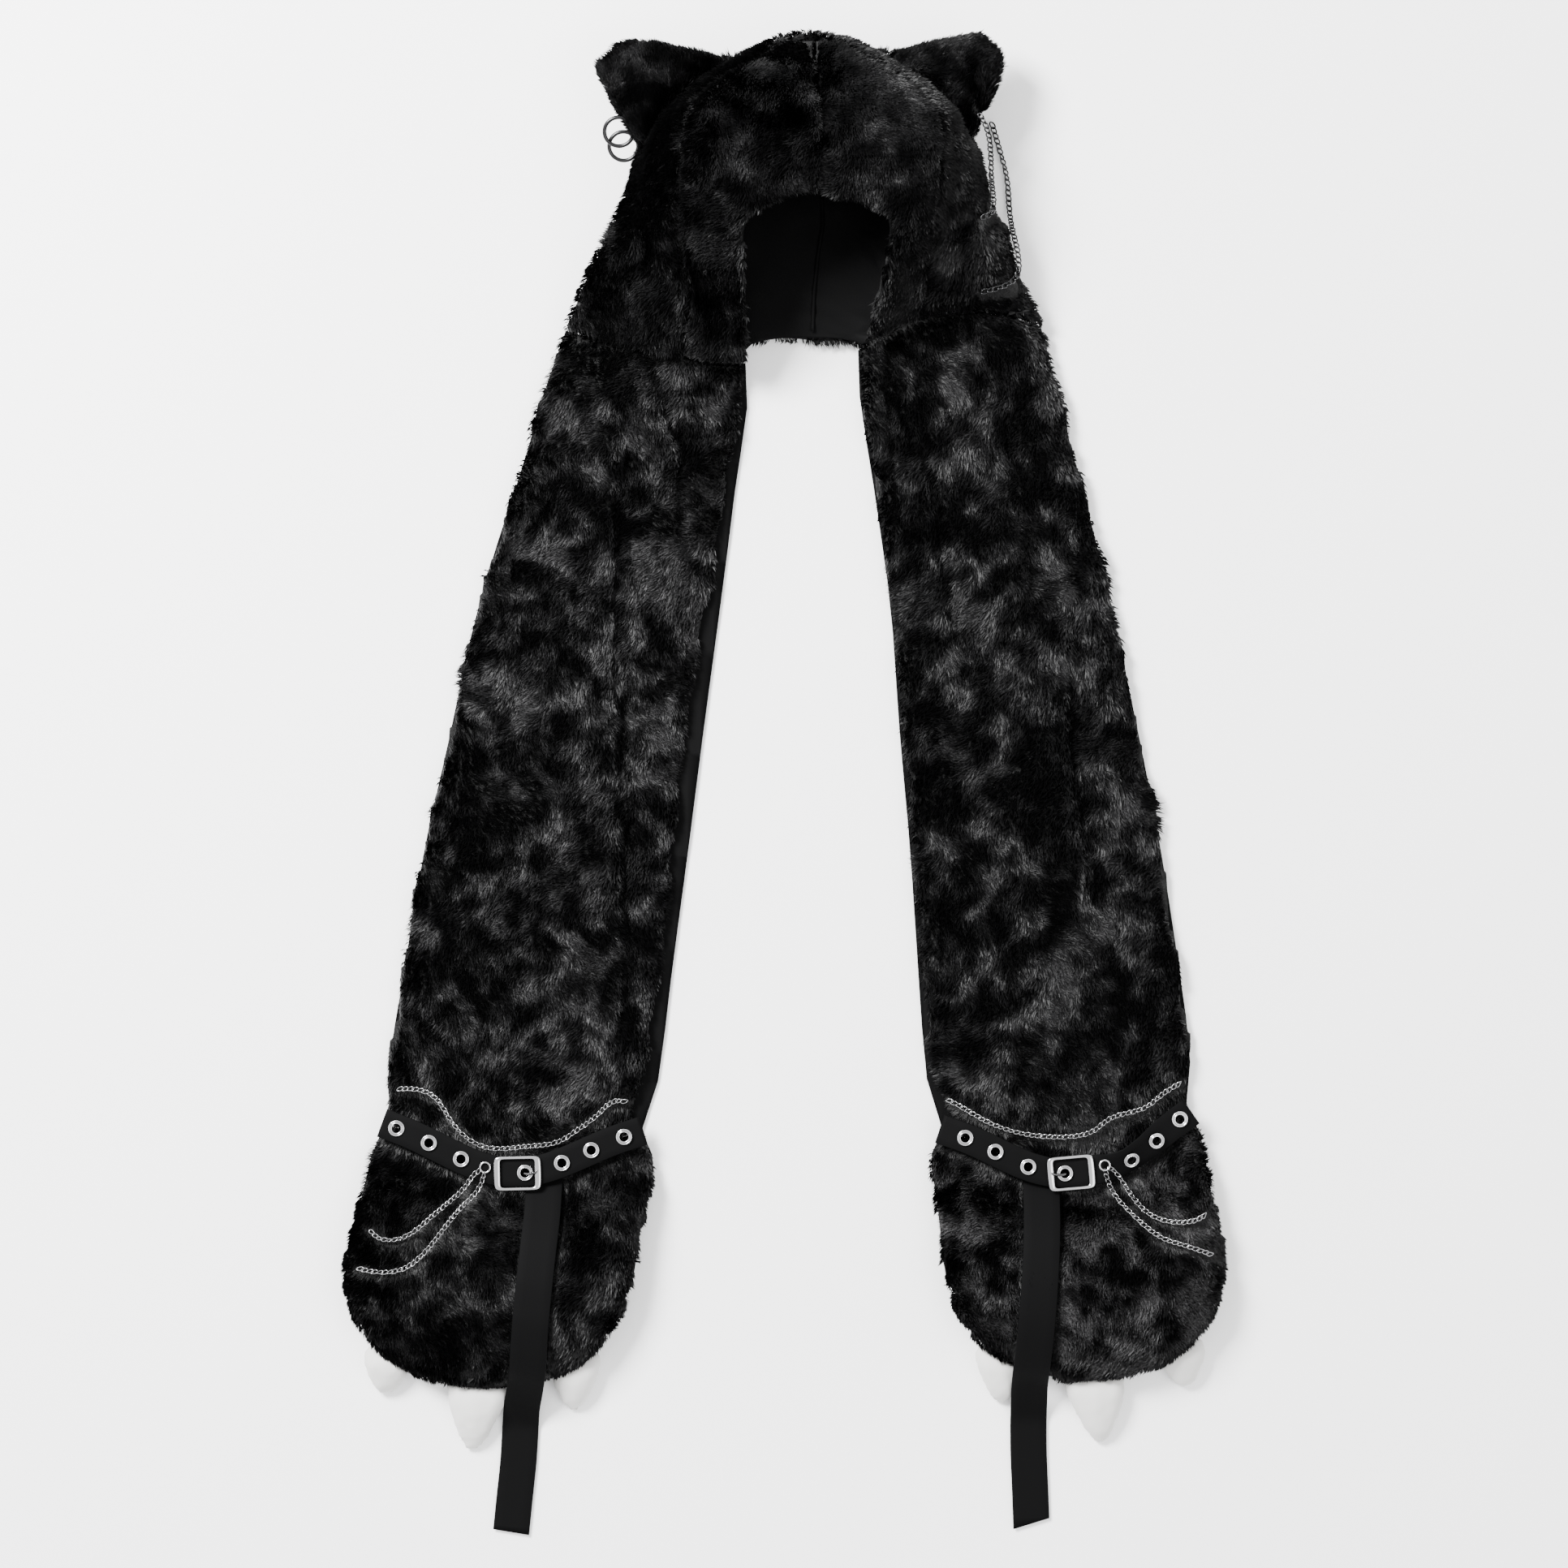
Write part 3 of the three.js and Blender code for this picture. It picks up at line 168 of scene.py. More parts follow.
# A blade's base colour is painted light: the painted sheen and shade stored on its points,
# times a fine speckle of painted glints.
pile_black, shader = material("pile_black", Base_Color=(0.008, 0.008, 0.0085, 1), Roughness=0.45,
                              Specular_IOR_Level=0.12)
painted_sheen_and_shade = pile_black.node_tree.nodes.new("ShaderNodeAttribute")
painted_sheen_and_shade.attribute_name = "painted_sheen_and_shade"
place = pile_black.node_tree.nodes.new("ShaderNodeTexCoord")
painted_sparkle_noise = pile_black.node_tree.nodes.new("ShaderNodeTexNoise")
painted_sparkle_noise.inputs["Scale"].default_value = 800.0
painted_sparkle_noise.inputs["Detail"].default_value = 2.0
glint = pile_black.node_tree.nodes.new("ShaderNodeMapRange")
glint.inputs["From Min"].default_value = 0.36
glint.inputs["From Max"].default_value = 0.68
glint.inputs["To Min"].default_value = 0.05
glint.inputs["To Max"].default_value = 2.3
painted_sheen_value = pile_black.node_tree.nodes.new("ShaderNodeMath")
painted_sheen_value.operation = "MULTIPLY"
pile_black.node_tree.links.new(place.outputs["Object"], painted_sparkle_noise.inputs["Vector"])
pile_black.node_tree.links.new(painted_sparkle_noise.outputs["Fac"], glint.inputs["Value"])
pile_black.node_tree.links.new(painted_sheen_and_shade.outputs["Fac"], painted_sheen_value.inputs[0])
pile_black.node_tree.links.new(glint.outputs["Result"], painted_sheen_value.inputs[1])
shades(pile_black, shader, painted_sheen_value.outputs["Value"], dark=(0.0012, 0.0012, 0.0013),
       light=(0.030, 0.0296, 0.0304), start=0.0, end=1.0)


def quads_of(mesh):
    """Points and four-cornered faces of a mesh as arrays."""
    points = np.empty(len(mesh.vertices) * 3, dtype=np.float32)
    mesh.vertices.foreach_get("co", points)
    faces = np.array([tuple(p.vertices) for p in mesh.polygons if len(p.vertices) == 4], dtype=np.int32)
    return points.reshape(-1, 3).astype(float), faces


def soft_copy(name, voxel, settle, knob=None):
    """The form of a CAD node as a fine soft surface: remeshed in cubes of voxel metres, then each
    point moved half way to the mean of its neighbours, settle times. A knob, an ellipsoid of the given
    middle and half sizes, is joined to it first."""
    form = bmesh.new()
    form.from_mesh(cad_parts[name].data)
    if knob:
        place = Matrix.LocRotScale(Vector(knob[0]), None, Vector(knob[1]))
        bmesh.ops.create_uvsphere(form, u_segments=16, v_segments=10, radius=1, matrix=place)
    mesh = bpy.data.meshes.new(name + "_form")
    form.to_mesh(mesh)
    form.free()
    copy = bpy.data.objects.new(name + "_form", mesh)
    bpy.context.collection.objects.link(copy)
    cubes = copy.modifiers.new("cubes", "REMESH")
    cubes.mode = "VOXEL"
    cubes.voxel_size = voxel
    calm = copy.modifiers.new("calm", "SMOOTH")
    calm.factor = 0.5
    calm.iterations = settle
    points, faces = quads_of(copy.evaluated_get(bpy.context.evaluated_depsgraph_get()).to_mesh())
    bpy.data.objects.remove(copy)
    return points, faces


def point_normals(points, faces):
    """Mean direction of the faces round each point, of length one."""
    a, b, c, d = (points[faces[:, k]] for k in range(4))
    face = np.cross(c - a, d - b)
    total = np.zeros_like(points)
    for k in range(4):
        np.add.at(total, faces[:, k], face)
    return total / np.maximum(np.linalg.norm(total, axis=1, keepdims=True), 1e-12)


def mottle(points, size, seed, octaves=3):
    """Cloudy random values through space, from about -1 to 1, in blots about size metres across."""
    shift = Vector((13.7 * seed, -7.3 * seed, 3.1 * seed))
    spots = (points / size).tolist()
    return np.array([1.6 * noise.fractal(Vector(p) + shift, 0.9, 2.1, octaves) for p in spots])


def node_points(name):
    """All points of a CAD node as rows of x, y and z."""
    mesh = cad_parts[name].data
    points = np.empty(len(mesh.vertices) * 3, dtype=np.float32)
    mesh.vertices.foreach_get("co", points)
    return points.reshape(-1, 3)


def node_edges(name):
    """The two end points of each edge of a CAD node, as rows of point numbers."""
    return np.array([tuple(e.vertices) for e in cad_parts[name].data.edges])


def points_on(*names):
    """Corners and edge middles of CAD nodes, as seen from above: where something lies on the fur."""
    spots = []
    for name in names:
        points = node_points(name)
        spots += [points, points[node_edges(name)].mean(axis=1)]
    flat = np.concatenate(spots)[:, :2]
    return np.unique(np.round(flat / 0.002), axis=0) * 0.002


def grow_pile(name, points, faces, count, length, lean, seed, pressed=(), middle=None, proud=0.0055,
              swirl=1.0, soft=0.015, painted_sheen_level=1.0, cloud=1.0, painted_shade_lines=(), painted_highlight_lines=(), ruffle=0.7):
    """Plush: count tapered blades rooted evenly on the surface. Each lies along the lean direction
    turned by cloudy noise, and rises by an angle that other noise sets, so the pile lies flat in some
    spots, with a painted sheen, and stands upright and painted dark in others. Blade ends in one
    small tuft drift together. Near pressed spots the blades lie flat and are painted dark as shadow.
    With a middle, only faces that look away from it carry blades. Along a fold line the blades are
    painted dark as shade, and along a ridge line they get a painted highlight. On the side walls the
    blades are shorter, stand out further by ruffle radians and are painted dark as shade. The painted
    light is scaled per piece by the level of the painted sheen."""
    rng = np.random.default_rng(seed)
    normals = point_normals(points, faces)
    a, b, c, d = (points[faces[:, k]] for k in range(4))
    weight = 0.5 * np.linalg.norm(np.cross(c - a, d - b), axis=1)
    up = normals[faces].mean(axis=1)
    weight *= np.clip(up[:, 2] * 2.5 + 0.9, 0.0, 1.0)
    if middle is not None:
        away = ((a + c) / 2 - middle) * (1, 0.3, 1)
        away /= np.linalg.norm(away, axis=1, keepdims=True)
        weight *= (away * up).sum(axis=1) > -0.2
    pick = rng.choice(len(faces), size=count, p=weight / weight.sum())
    u, v = rng.random((2, count, 1))

    def blend(values):
        q = values[faces[pick]]
        return (1 - u) * ((1 - v) * q[:, 0] + v * q[:, 3]) + u * ((1 - v) * q[:, 1] + v * q[:, 2])

    root, up = blend(points), blend(normals)
    up /= np.linalg.norm(up, axis=1, keepdims=True)
    lean = np.asarray(lean, dtype=float)
    lie = lean - up * (up @ lean)[:, None]
    lie /= np.maximum(np.linalg.norm(lie, axis=1, keepdims=True), 1e-9)
    turn = swirl * (1.1 * mottle(root, 0.07, seed, 2) + 0.8 * mottle(root, 0.022, seed + 1, 2))
    turn = (turn + rng.normal(0, 0.3, count))[:, None]
    lie = lie * np.cos(turn) + np.cross(up, lie) * np.sin(turn)
    across = np.cross(up, lie)
    # Where the pile lies flat it gets a painted sheen, and where it stands upright it is painted dark.
    clouds = 0.55 * mottle(root, soft, seed + 2, octaves=4)
    clouds += 0.35 * mottle(root, 3 * soft, seed + 3, octaves=2)
    flat = np.clip(0.46 + 1.2 * cloud * clouds, 0.0, 1.0)
    wall = 1 - np.clip(up[:, 2], 0, 1)
    angle = 0.3 + 0.95 * (1 - flat) + ruffle * wall + rng.normal(0, 0.14, count)
    free, batch = np.ones(count), 4000
    for spots, near in pressed:
        for start in range(0, count, batch):
            some = slice(start, start + batch)
            gap = root[some, None, :2] - spots[None]
            far = np.sqrt((gap ** 2).sum(axis=2).min(axis=1))
            free[some] = np.minimum(free[some], np.clip(far / near - 0.35, 0, 1))
    long = length * rng.uniform(0.7, 1.25, count) * (0.55 + 0.45 * free) * (1 - 0.4 * wall)
    tall = 0.0015 + (proud + 0.0015) * free
    angle = np.minimum(np.clip(angle, 0.05, 1.3), np.arcsin(np.clip(tall / long, 0, 0.97)))[:, None]
    long = long[:, None]
    knee = root + 0.5 * long * (lie * np.cos(angle) + up * np.sin(angle))
    tip = knee + 0.5 * long * (lie * np.cos(0.5 * angle) + up * np.sin(0.5 * angle))
    tuft_size = 0.0065
    tuft = np.floor((root + 0.2 * tuft_size * rng.normal(size=root.shape)) / tuft_size).astype(np.int64)
    _, which = np.unique(tuft @ (73856093, 19349663, 83492791), return_inverse=True)
    total = np.zeros((which.max() + 1, 3))
    np.add.at(total, which, tip)
    pull = rng.uniform(0.2, 0.5, (count, 1)) * (1 - 0.6 * wall[:, None])
    drift = pull * ((total / np.bincount(which)[:, None])[which] - tip)
    tip, knee = tip + drift, knee + 0.3 * drift
    knee[:, 2], tip[:, 2] = np.maximum(knee[:, 2], 0.0008), np.maximum(tip[:, 2], 0.0005)
    half_blade = 0.00046
    half = half_blade * rng.uniform(0.75, 1.3, (count, 1)) * across
    blades = np.stack([root - half, root + half, knee + 0.9 * half, tip], axis=1).reshape(-1, 3)
    first = 4 * np.arange(count)[:, None]
    sides = np.concatenate([first + (0, 1, 2), first + (0, 2, 3)], axis=1).reshape(-1, 3)
    piece = mesh_piece(name, blades, sides, pile_black, smooth=False)
    # Painted light per blade: painted sheen where the pile lies flat, painted shadow near pressed spots
    # and painted shade on the side walls.
    painted_light = painted_sheen_level * flat * rng.uniform(0.35, 1.25, count) * (0.12 + 0.88 * free) * (1 - 0.75 * wall)
    # Painted shade along the fold lines and a painted highlight along the ridge lines.
    for line in painted_shade_lines:
        painted_light *= 1 - 0.8 * near_line(root, line, 0.005)
    for line in painted_highlight_lines:
        painted_light *= 1 + 0.2 * near_line(root, line, 0.011)
    painted_light = np.clip(painted_light, 0, 1)
    shade = np.repeat(painted_light, 4) * np.tile((0.15, 0.15, 0.75, 1.0), count)
    piece.data.attributes.new("painted_sheen_and_shade", "FLOAT", "POINT").data.foreach_set("value", shade.astype(np.float32))
    # One small cell of the map for each blade.
    wide = math.ceil(math.sqrt(count))
    cell = np.stack([np.arange(count) % wide, np.arange(count) // wide], axis=1)[:, None]
    corner = np.array([(0.1, 0.1), (0.9, 0.1), (0.9, 0.9), (0.1, 0.1), (0.9, 0.9), (0.1, 0.95)])
    spread = ((cell + corner) / wide).astype(np.float32)
    piece.data.uv_layers.new(name="OFBake").data.foreach_set("uv", spread.ravel())
    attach(piece, "root")
    return piece


def fur_body(name, voxel, settle, inset, shape=None, knob=None):
    """A fur piece's body: the soft copy of its node, moved by shape(points, normals) if one is given,
    then drawn in by inset to leave room for the pile."""
    points, faces = soft_copy(name, voxel, settle, knob)
    if shape:
        points = shape(points, point_normals(points, faces))
    normals = point_normals(points, faces)
    points = points - inset * normals * (1.1 * np.abs(normals[:, 2:]) - 0.1)
    points[:, 2] = np.maximum(points[:, 2], 0.0003)
    piece = mesh_piece(name + "_fur", points, faces, fur_black)
    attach(piece, "root")
    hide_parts(name)
    return points, faces


def near_line(points, line, reach):
    """1 on a line of (x, y) points, falling smoothly to 0 at reach away, as seen from above."""
    line = np.asarray(line, dtype=float)
    best = np.full(len(points), 9.0)
    for a, b in zip(line[:-1], line[1:]):
        t = np.clip(((points[:, :2] - a) @ (b - a)) / ((b - a) @ (b - a)), 0, 1)[:, None]
        best = np.minimum(best, np.linalg.norm(points[:, :2] - a - t * (b - a), axis=1))
    return np.clip(1 - best / reach, 0, 1) ** 2 * (3 - 2 * np.clip(1 - best / reach, 0, 1))


# Lines on the hood as seen from above, in metres.
brow_roll = [(0.024, 0.412), (0.036, 0.409), (0.048, 0.407), (0.060, 0.404)]
brow_edge = [(-0.040, 0.395), (-0.032, 0.406), (-0.018, 0.413), (0.000, 0.416), (0.020, 0.416),
             (0.050, 0.414), (0.066, 0.405)]
# Along the seams the plush dents, and its pile is painted dark there as shade.
hood_seams = [
    [(-0.0636, 0.4628), (-0.0665, 0.4094), (-0.0653, 0.3640), (-0.0590, 0.3248)],
    [(0.1113, 0.4526), (0.1136, 0.4207), (0.1079, 0.3867), (0.1000, 0.3577)],
    [(0.0199, 0.5173), (0.0244, 0.4662), (0.0261, 0.4122)],
]
crown_seam = [(0.0200, 0.522), (0.0218, 0.492)]
# Along the ridge lines the pile gets a painted highlight.
hood_ridges = [[(0.0199, 0.5094), (-0.0636, 0.4628)], [(0.0239, 0.5054), (0.1113, 0.4526)]]

# The middle and half sizes of the gathered point at the crown, and the middle of the head space.
crown_knob = ((0.0200, 0.511, 0.049), (0.014, 0.009, 0.007))
hood_middle = np.array((0.018, 0.40, 0.045))
hood_pile_length = 0.0085
hood_pieces = (
    # name, number of blades, lean of the pile, seed, level of the painted sheen, knob
    ("hood_front_left", 31000, (-0.25, -1, -0.2), 11, 0.52, None),
    ("hood_front_right", 28000, (0.25, -1, -0.2), 12, 0.42, None),
    ("hood_back", 38000, (0, -1, -0.5), 13, 0.40, crown_knob),
)


def hood_shape(points, normals):
    """The brow hangs 4 mm over the face, and 13 mm at its left end. Its roll stands out by 3 mm, slow
    dents let the plush sag between its seams, and the front panels are drawn together at the crown."""
    hang = 0.004 + 0.009 * np.clip((0.010 - points[:, 0]) / 0.035, 0, 1)
    hang *= near_line(points, brow_edge, 0.022) * (points[:, 2] > 0.05)
    swell = 0.003 * near_line(points, brow_roll, 0.010) * (points[:, 2] > 0.05)
    dent = 0.0014 * mottle(points, 0.05, 5, 2)
    for line in hood_seams:
        dent -= 0.0018 * near_line(points, line, 0.008) * np.clip(normals[:, 2], 0, 1)
    moved = points + (swell + dent)[:, None] * normals
    moved[:, 1] -= hang
    meet = near_line(points, crown_seam, 0.012)
    moved[:, 0] -= 0.7 * meet * (points[:, 0] - 0.0208)
    return moved


ear_chain_spots = points_on("ear_chain_short", "ear_chain_long")
for name, count, lean, seed, painted_sheen_level, knob in hood_pieces:
    points, faces = fur_body(name, voxel=0.0032, settle=3, inset=0.0024, shape=hood_shape,
                             knob=knob)
    grow_pile(name + "_pile", points, faces, count, hood_pile_length, lean, seed,
              [(ear_chain_spots, 0.005)], hood_middle, painted_sheen_level=painted_sheen_level, cloud=0.6, painted_shade_lines=hood_seams,
              painted_highlight_lines=hood_ridges)

# Hood lining.
# A smooth black knit lining in two halves with a seam down the middle of the back, sewn to the fur
# along the front edge and the nape. It hangs a little loose, in soft upright creases.
lining_black, shader = material("lining_black", Base_Color=(0.0012, 0.0012, 0.0013, 1), Roughness=0.6,
                                Specular_IOR_Level=0.045)
grain(lining_black, shader, 900, 0.15, 0.0004)


def smooth_copy(name, levels):
    """A CAD node's surface with its facets joined to quads and rounded by subdivision."""
    made = bmesh.new()
    made.from_mesh(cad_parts[name].data)
    bmesh.ops.remove_doubles(made, verts=made.verts, dist=0.00002)
    bmesh.ops.join_triangles(made, faces=made.faces, angle_face_threshold=0.7, angle_shape_threshold=0.9)
    mesh = bpy.data.meshes.new(name + "_form")
    made.to_mesh(mesh)
    made.free()
    copy = bpy.data.objects.new(name + "_form", mesh)
    bpy.context.collection.objects.link(copy)
    rounding = copy.modifiers.new("rounding", "SUBSURF")
    rounding.levels = levels
    points, faces = quads_of(copy.evaluated_get(bpy.context.evaluated_depsgraph_get()).to_mesh())
    bpy.data.objects.remove(copy)
    return points, faces


def strap_like(grid, name, made):
    """A closed bar from a grid of points, rows along it and columns round it, its ends filled in with
    strips of four-cornered faces. The columns are an even number."""
    rows, columns = grid.shape[:2]
    i, j = np.meshgrid(np.arange(rows - 1), np.arange(columns), indexing="ij")
    k = (j + 1) % columns
    here, below = i * columns, (i + 1) * columns
    sides = np.stack([here + j, here + k, below + k, below + j], axis=-1)
    t = np.arange(columns // 2 - 1)
    cap = np.stack([t, t + 1, columns - t - 2, columns - t - 1], axis=-1)
    faces = np.concatenate([sides.reshape(-1, 4), cap[:, ::-1], cap + (rows - 1) * columns])
    points = grid.reshape(-1, 3)
    a, b, c, d = (points[faces[:, k]] for k in range(4))
    inside = (a * np.cross(b, c)).sum() + (a * np.cross(c, d)).sum()
    return mesh_piece(name, points, faces if inside > 0 else faces[:, ::-1], made)


def sheet_area(points, faces):
    """Area of a thin closed sheet seen from one side: half of its whole surface."""
    a, b, c = (points[faces[:, k]] for k in range(3))
    total = np.linalg.norm(np.cross(b - a, c - a), axis=1).sum() / 2
    if faces.shape[1] == 4:
        d = points[faces[:, 3]]
        total += np.linalg.norm(np.cross(c - a, d - a), axis=1).sum() / 2
    return float(total / 2)


points, faces = smooth_copy("hood_lining", levels=2)
below = points[:, 2] < 0.05
crease_depth = 0.0013
points[:, 2] += crease_depth * np.sin(points[:, 0] * 330 + 3 * mottle(points, 0.08, 31, 2)) * below
lining = mesh_piece("hood_lining_cloth", points, faces, lining_black)

# The seam down the middle of the back stands up as a low rib of folded cloth.
seam_line = np.array([(0.0200, 0.318), (0.0210, 0.345), (0.0235, 0.370), (0.0270, 0.392), (0.0265, 0.412)])
steps = np.linspace(0, len(seam_line) - 1, 40)
plan = np.stack([np.interp(steps, np.arange(len(seam_line)), seam_line[:, k]) for k in (0, 1)], axis=1)
back = points[below]
apart = np.hypot(plan[:, :1] - back[:, 0], plan[:, 1:] - back[:, 1])
lies = back[np.argsort(apart, axis=1)[:, :5], 2].max(axis=1)
lies = np.convolve(np.pad(lies, 3, mode="edge"), np.ones(7) / 7, mode="valid")
around = np.linspace(0, 2 * np.pi, 10, endpoint=False)
rib_half_wide, rib_half_thick = 0.0014, 0.0008
rib = np.stack([plan[:, :1] + rib_half_wide * np.cos(around), np.repeat(plan[:, 1:], 10, axis=1),
                lies[:, None] + 0.0001 + rib_half_thick * np.sin(around)], axis=-1)
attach(lining, "root")
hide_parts("hood_lining")
seam = strap_like(rib, "lining_seam", lining_black)
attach(seam, "root")
sheet_area(points, faces)

# Ears.
# Two plump ears of the same plush, each a stuffed pocket whose open edge is caught in the seam
# between the front and the back of the hood.


def puffed(name, points, faces, pressure, cap):
    """Fills a soft form with stuffing: the cloth is blown up from inside for some steps, and no
    point moves further than cap metres."""
    steps, stretch = 20, 25
    piece = mesh_piece(name + "_blown", points, faces, fur_black)
    cloth = piece.modifiers.new("stuffing", "CLOTH")
    cloth.settings.quality = 4
    cloth.settings.mass = 0.2
    cloth.settings.tension_stiffness = stretch
    cloth.settings.compression_stiffness = stretch
    cloth.settings.use_pressure = True
    cloth.settings.uniform_pressure_force = pressure
    cloth.settings.effector_weights.gravity = 0
    cloth.collision_settings.use_collision = False
    cloth.point_cache.frame_start = 1
    cloth.point_cache.frame_end = steps
    for step in range(1, steps + 1):
        bpy.context.scene.frame_set(step)
    blown, _ = quads_of(piece.evaluated_get(bpy.context.evaluated_depsgraph_get()).to_mesh())
    bpy.context.scene.frame_set(1)
    bpy.data.objects.remove(piece)
    move = blown - points
    far = np.linalg.norm(move, axis=1, keepdims=True)
    return points + move * np.minimum(1, cap / np.maximum(far, 1e-9))


ear_inset, ear_pile_length = 0.0036, 0.0100
for side, sign, seed in (("left", -1, 21), ("right", 1, 22)):
    name = "ear_" + side
    points, faces = soft_copy(name, voxel=0.0036, settle=4)
    points = points - ear_inset * point_normals(points, faces)
    points = puffed(name, points, faces, pressure=3, cap=0.003)
    points[:, 2] = np.maximum(points[:, 2], 0.0003)
    body = mesh_piece(name + "_fur", points, faces, fur_black)
    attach(body, "root")
    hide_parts(name)
    # The ear pile's painted sheen is scaled by 0.45.
    grow_pile(name + "_pile", points, faces, 11000, ear_pile_length, (sign * 0.6, 1, 0.1), seed,
              [(ear_chain_spots, 0.004)], painted_sheen_level=0.45, ruffle=1.0)

# Ear rings.
# Two thin hoops of round steel wire hooked through the edge of one ear.
dark_steel, _ = material("dark_steel", Base_Color=(0.035, 0.035, 0.036, 1), Metallic=1.0,
                         Roughness=0.25)


def main_axes(name):
    """Middle of a CAD node, its own three axes from the longest to the shortest as rows, and half of
    its reach along each."""
    points = np.unique(np.round(node_points(name).astype(float), 6), axis=0)
    mean = points.mean(axis=0)
    _, _, axes = np.linalg.svd(points - mean, full_matrices=False)
    if axes[2, 2] < 0:
        axes[2] *= -1
    if axes[0, 0] < 0:
        axes[0] *= -1
    axes[1] = np.cross(axes[2], axes[0])
    along = (points - mean) @ axes.T
    low, high = along.min(axis=0), along.max(axis=0)
    middle = mean + ((low + high) / 2) @ axes
    return middle, axes, (high - low) / 2


def closed_grid(points):
    """Faces of a grid of points, rows by columns, closed both ways like a ring."""
    rows, columns = points.shape[:2]
    i, j = np.meshgrid(np.arange(rows), np.arange(columns), indexing="ij")
    here, down, across = i * columns, (i + 1) % rows * columns, (j + 1) % columns
    return np.stack([here + j, down + j, down + across, here + across], axis=-1).reshape(-1, 4)


def wire_ring(name, node, wire, made):
    """A round wire ring in the plane of its node, at the node's own outer radius."""
    middle, axes, half = main_axes(node)
    radius = (half[0] + half[1]) / 2 - wire
    turn = np.linspace(0, 2 * np.pi, 56, endpoint=False)[:, None, None]
    round_ = np.linspace(0, 2 * np.pi, 12, endpoint=False)[None, :, None]
    out = np.cos(turn) * axes[0] + np.sin(turn) * axes[1]
    points = middle + out * (radius + wire * np.cos(round_)) + axes[2] * wire * np.sin(round_)
    piece = mesh_piece(name, points.reshape(-1, 3), closed_grid(points), made)
    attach(piece, "root")
    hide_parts(node)


hoop_wire = 0.0014
wire_ring("ear_hoop_upper", "ear_ring_upper", hoop_wire, dark_steel)
wire_ring("ear_hoop_lower", "ear_ring_lower", hoop_wire, dark_steel)

# Scarf ends.
# Each end is a long strip of plush over a plain black backing. The backing is a little wider on the
# inner side, so that a smooth strip of it shows there. The plush is creased lengthwise from folding.


def gridded(name, step):
    """A flat CAD node's surface cut into small squares of about step metres, as triangles."""
    made = bmesh.new()
    made.from_mesh(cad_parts[name].data)
    bmesh.ops.remove_doubles(made, verts=made.verts, dist=0.00002)
    low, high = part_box(name)
    for axis in (0, 1):
        for cut in np.arange(low[axis] + step / 2, high[axis], step):
            spot, way = [0, 0, 0], [0, 0, 0]
            spot[axis], way[axis] = float(cut), 1
            everything = made.verts[:] + made.edges[:] + made.faces[:]
            bmesh.ops.bisect_plane(made, geom=everything, dist=0.00001, plane_co=spot, plane_no=way)
    bmesh.ops.triangulate(made, faces=made.faces)
    points = np.array([tuple(v.co) for v in made.verts])
    made.verts.index_update()
    faces = np.array([[v.index for v in f.verts] for f in made.faces])
    made.free()
    return points, faces


backing_tuck, tuck_reach = 0.0022, 0.02
for side, inner in (("left", 1), ("right", -1)):
    points, faces = gridded("backing_" + side, 0.009)
    # The outer edge is tucked a little way in under the fur, row by row.
    row = np.round((points[:, 1] - points[:, 1].min()) / 0.0045).astype(int)
    outermost = np.full(row.max() + 1, -9.0)
    np.maximum.at(outermost, row, -inner * points[:, 0])
    from_edge = outermost[row] + inner * points[:, 0]
    points[:, 0] += inner * backing_tuck * np.clip(1 - from_edge / tuck_reach, 0, 1)
    lift = 0.0004 * (1 + mottle(points, 0.045, 41, 2))
    points[:, 2] = np.clip(points[:, 2] + lift - 0.0003, 0.0002, 0.0024)
    backing = mesh_piece("scarf_backing_" + side, points, faces, lining_black)
    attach(backing, "root")
    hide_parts("backing_" + side)
    sheet_area(points, faces)

# Creases as seen from above, in metres. The plush dents along them, and its pile is painted dark
# there as shade.
left_creases = [
    [(-0.113, 0.235), (-0.1155, 0.147), (-0.1165, 0.053), (-0.113, -0.020), (-0.112, -0.160)],
    [(-0.088, 0.288), (-0.072, 0.232), (-0.068, 0.176), (-0.059, 0.154)],
]
right_creases = [
    [(0.090, 0.290), (0.105, 0.200), (0.118, 0.110)],
    [(0.205, 0.170), (0.200, 0.050), (0.215, -0.080)],
]


def crease_shape(lines, seed):
    """Lengthwise creases, and a slow wave over the rest of the plush."""
    depth, reach = 0.0042, 0.007

    def shape(points, normals):
        dent = sum(near_line(points, line, reach) for line in lines)
        wave = 0.0012 * mottle(points, 0.06, seed, 2)
        top = np.clip(normals[:, 2], 0, 1)
        return points + normals * ((wave - depth * dent) * top)[:, None]
    return shape


scarf_pile_length = 0.0075
# Each row ends with the level of the painted sheen on that side's plush.
for side, lines, seed, painted_sheen_level in (("left", left_creases, 51, 0.64), ("right", right_creases, 52, 0.4)):
    laid_on = points_on("chain_upper_" + side)
    points, faces = fur_body("scarf_" + side, voxel=0.0042, settle=4, inset=0.0028,
                             shape=crease_shape(lines, seed))
    grow_pile("scarf_" + side + "_pile", points, faces, 76000, scarf_pile_length, (0, -1, 0), seed,
              [(laid_on, 0.005)], painted_sheen_level=painted_sheen_level, painted_shade_lines=lines)

# Mittens.
# Each end of the scarf closes to a paw shaped mitten: plush on top, plain cloth on the palm with a
# slit for the hand, and padding in the toe.
for side in ("left", "right"):
    points, faces = gridded("palm_" + side, 0.009)
    points[:, 2] = np.clip(points[:, 2] + 0.0003 * mottle(points, 0.04, 45, 2), 0.0002, 0.03)
    palm = mesh_piece("mitten_palm_" + side, points, faces, lining_black)
    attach(palm, "root")
    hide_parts("palm_" + side)
    sheet_area(points, faces)


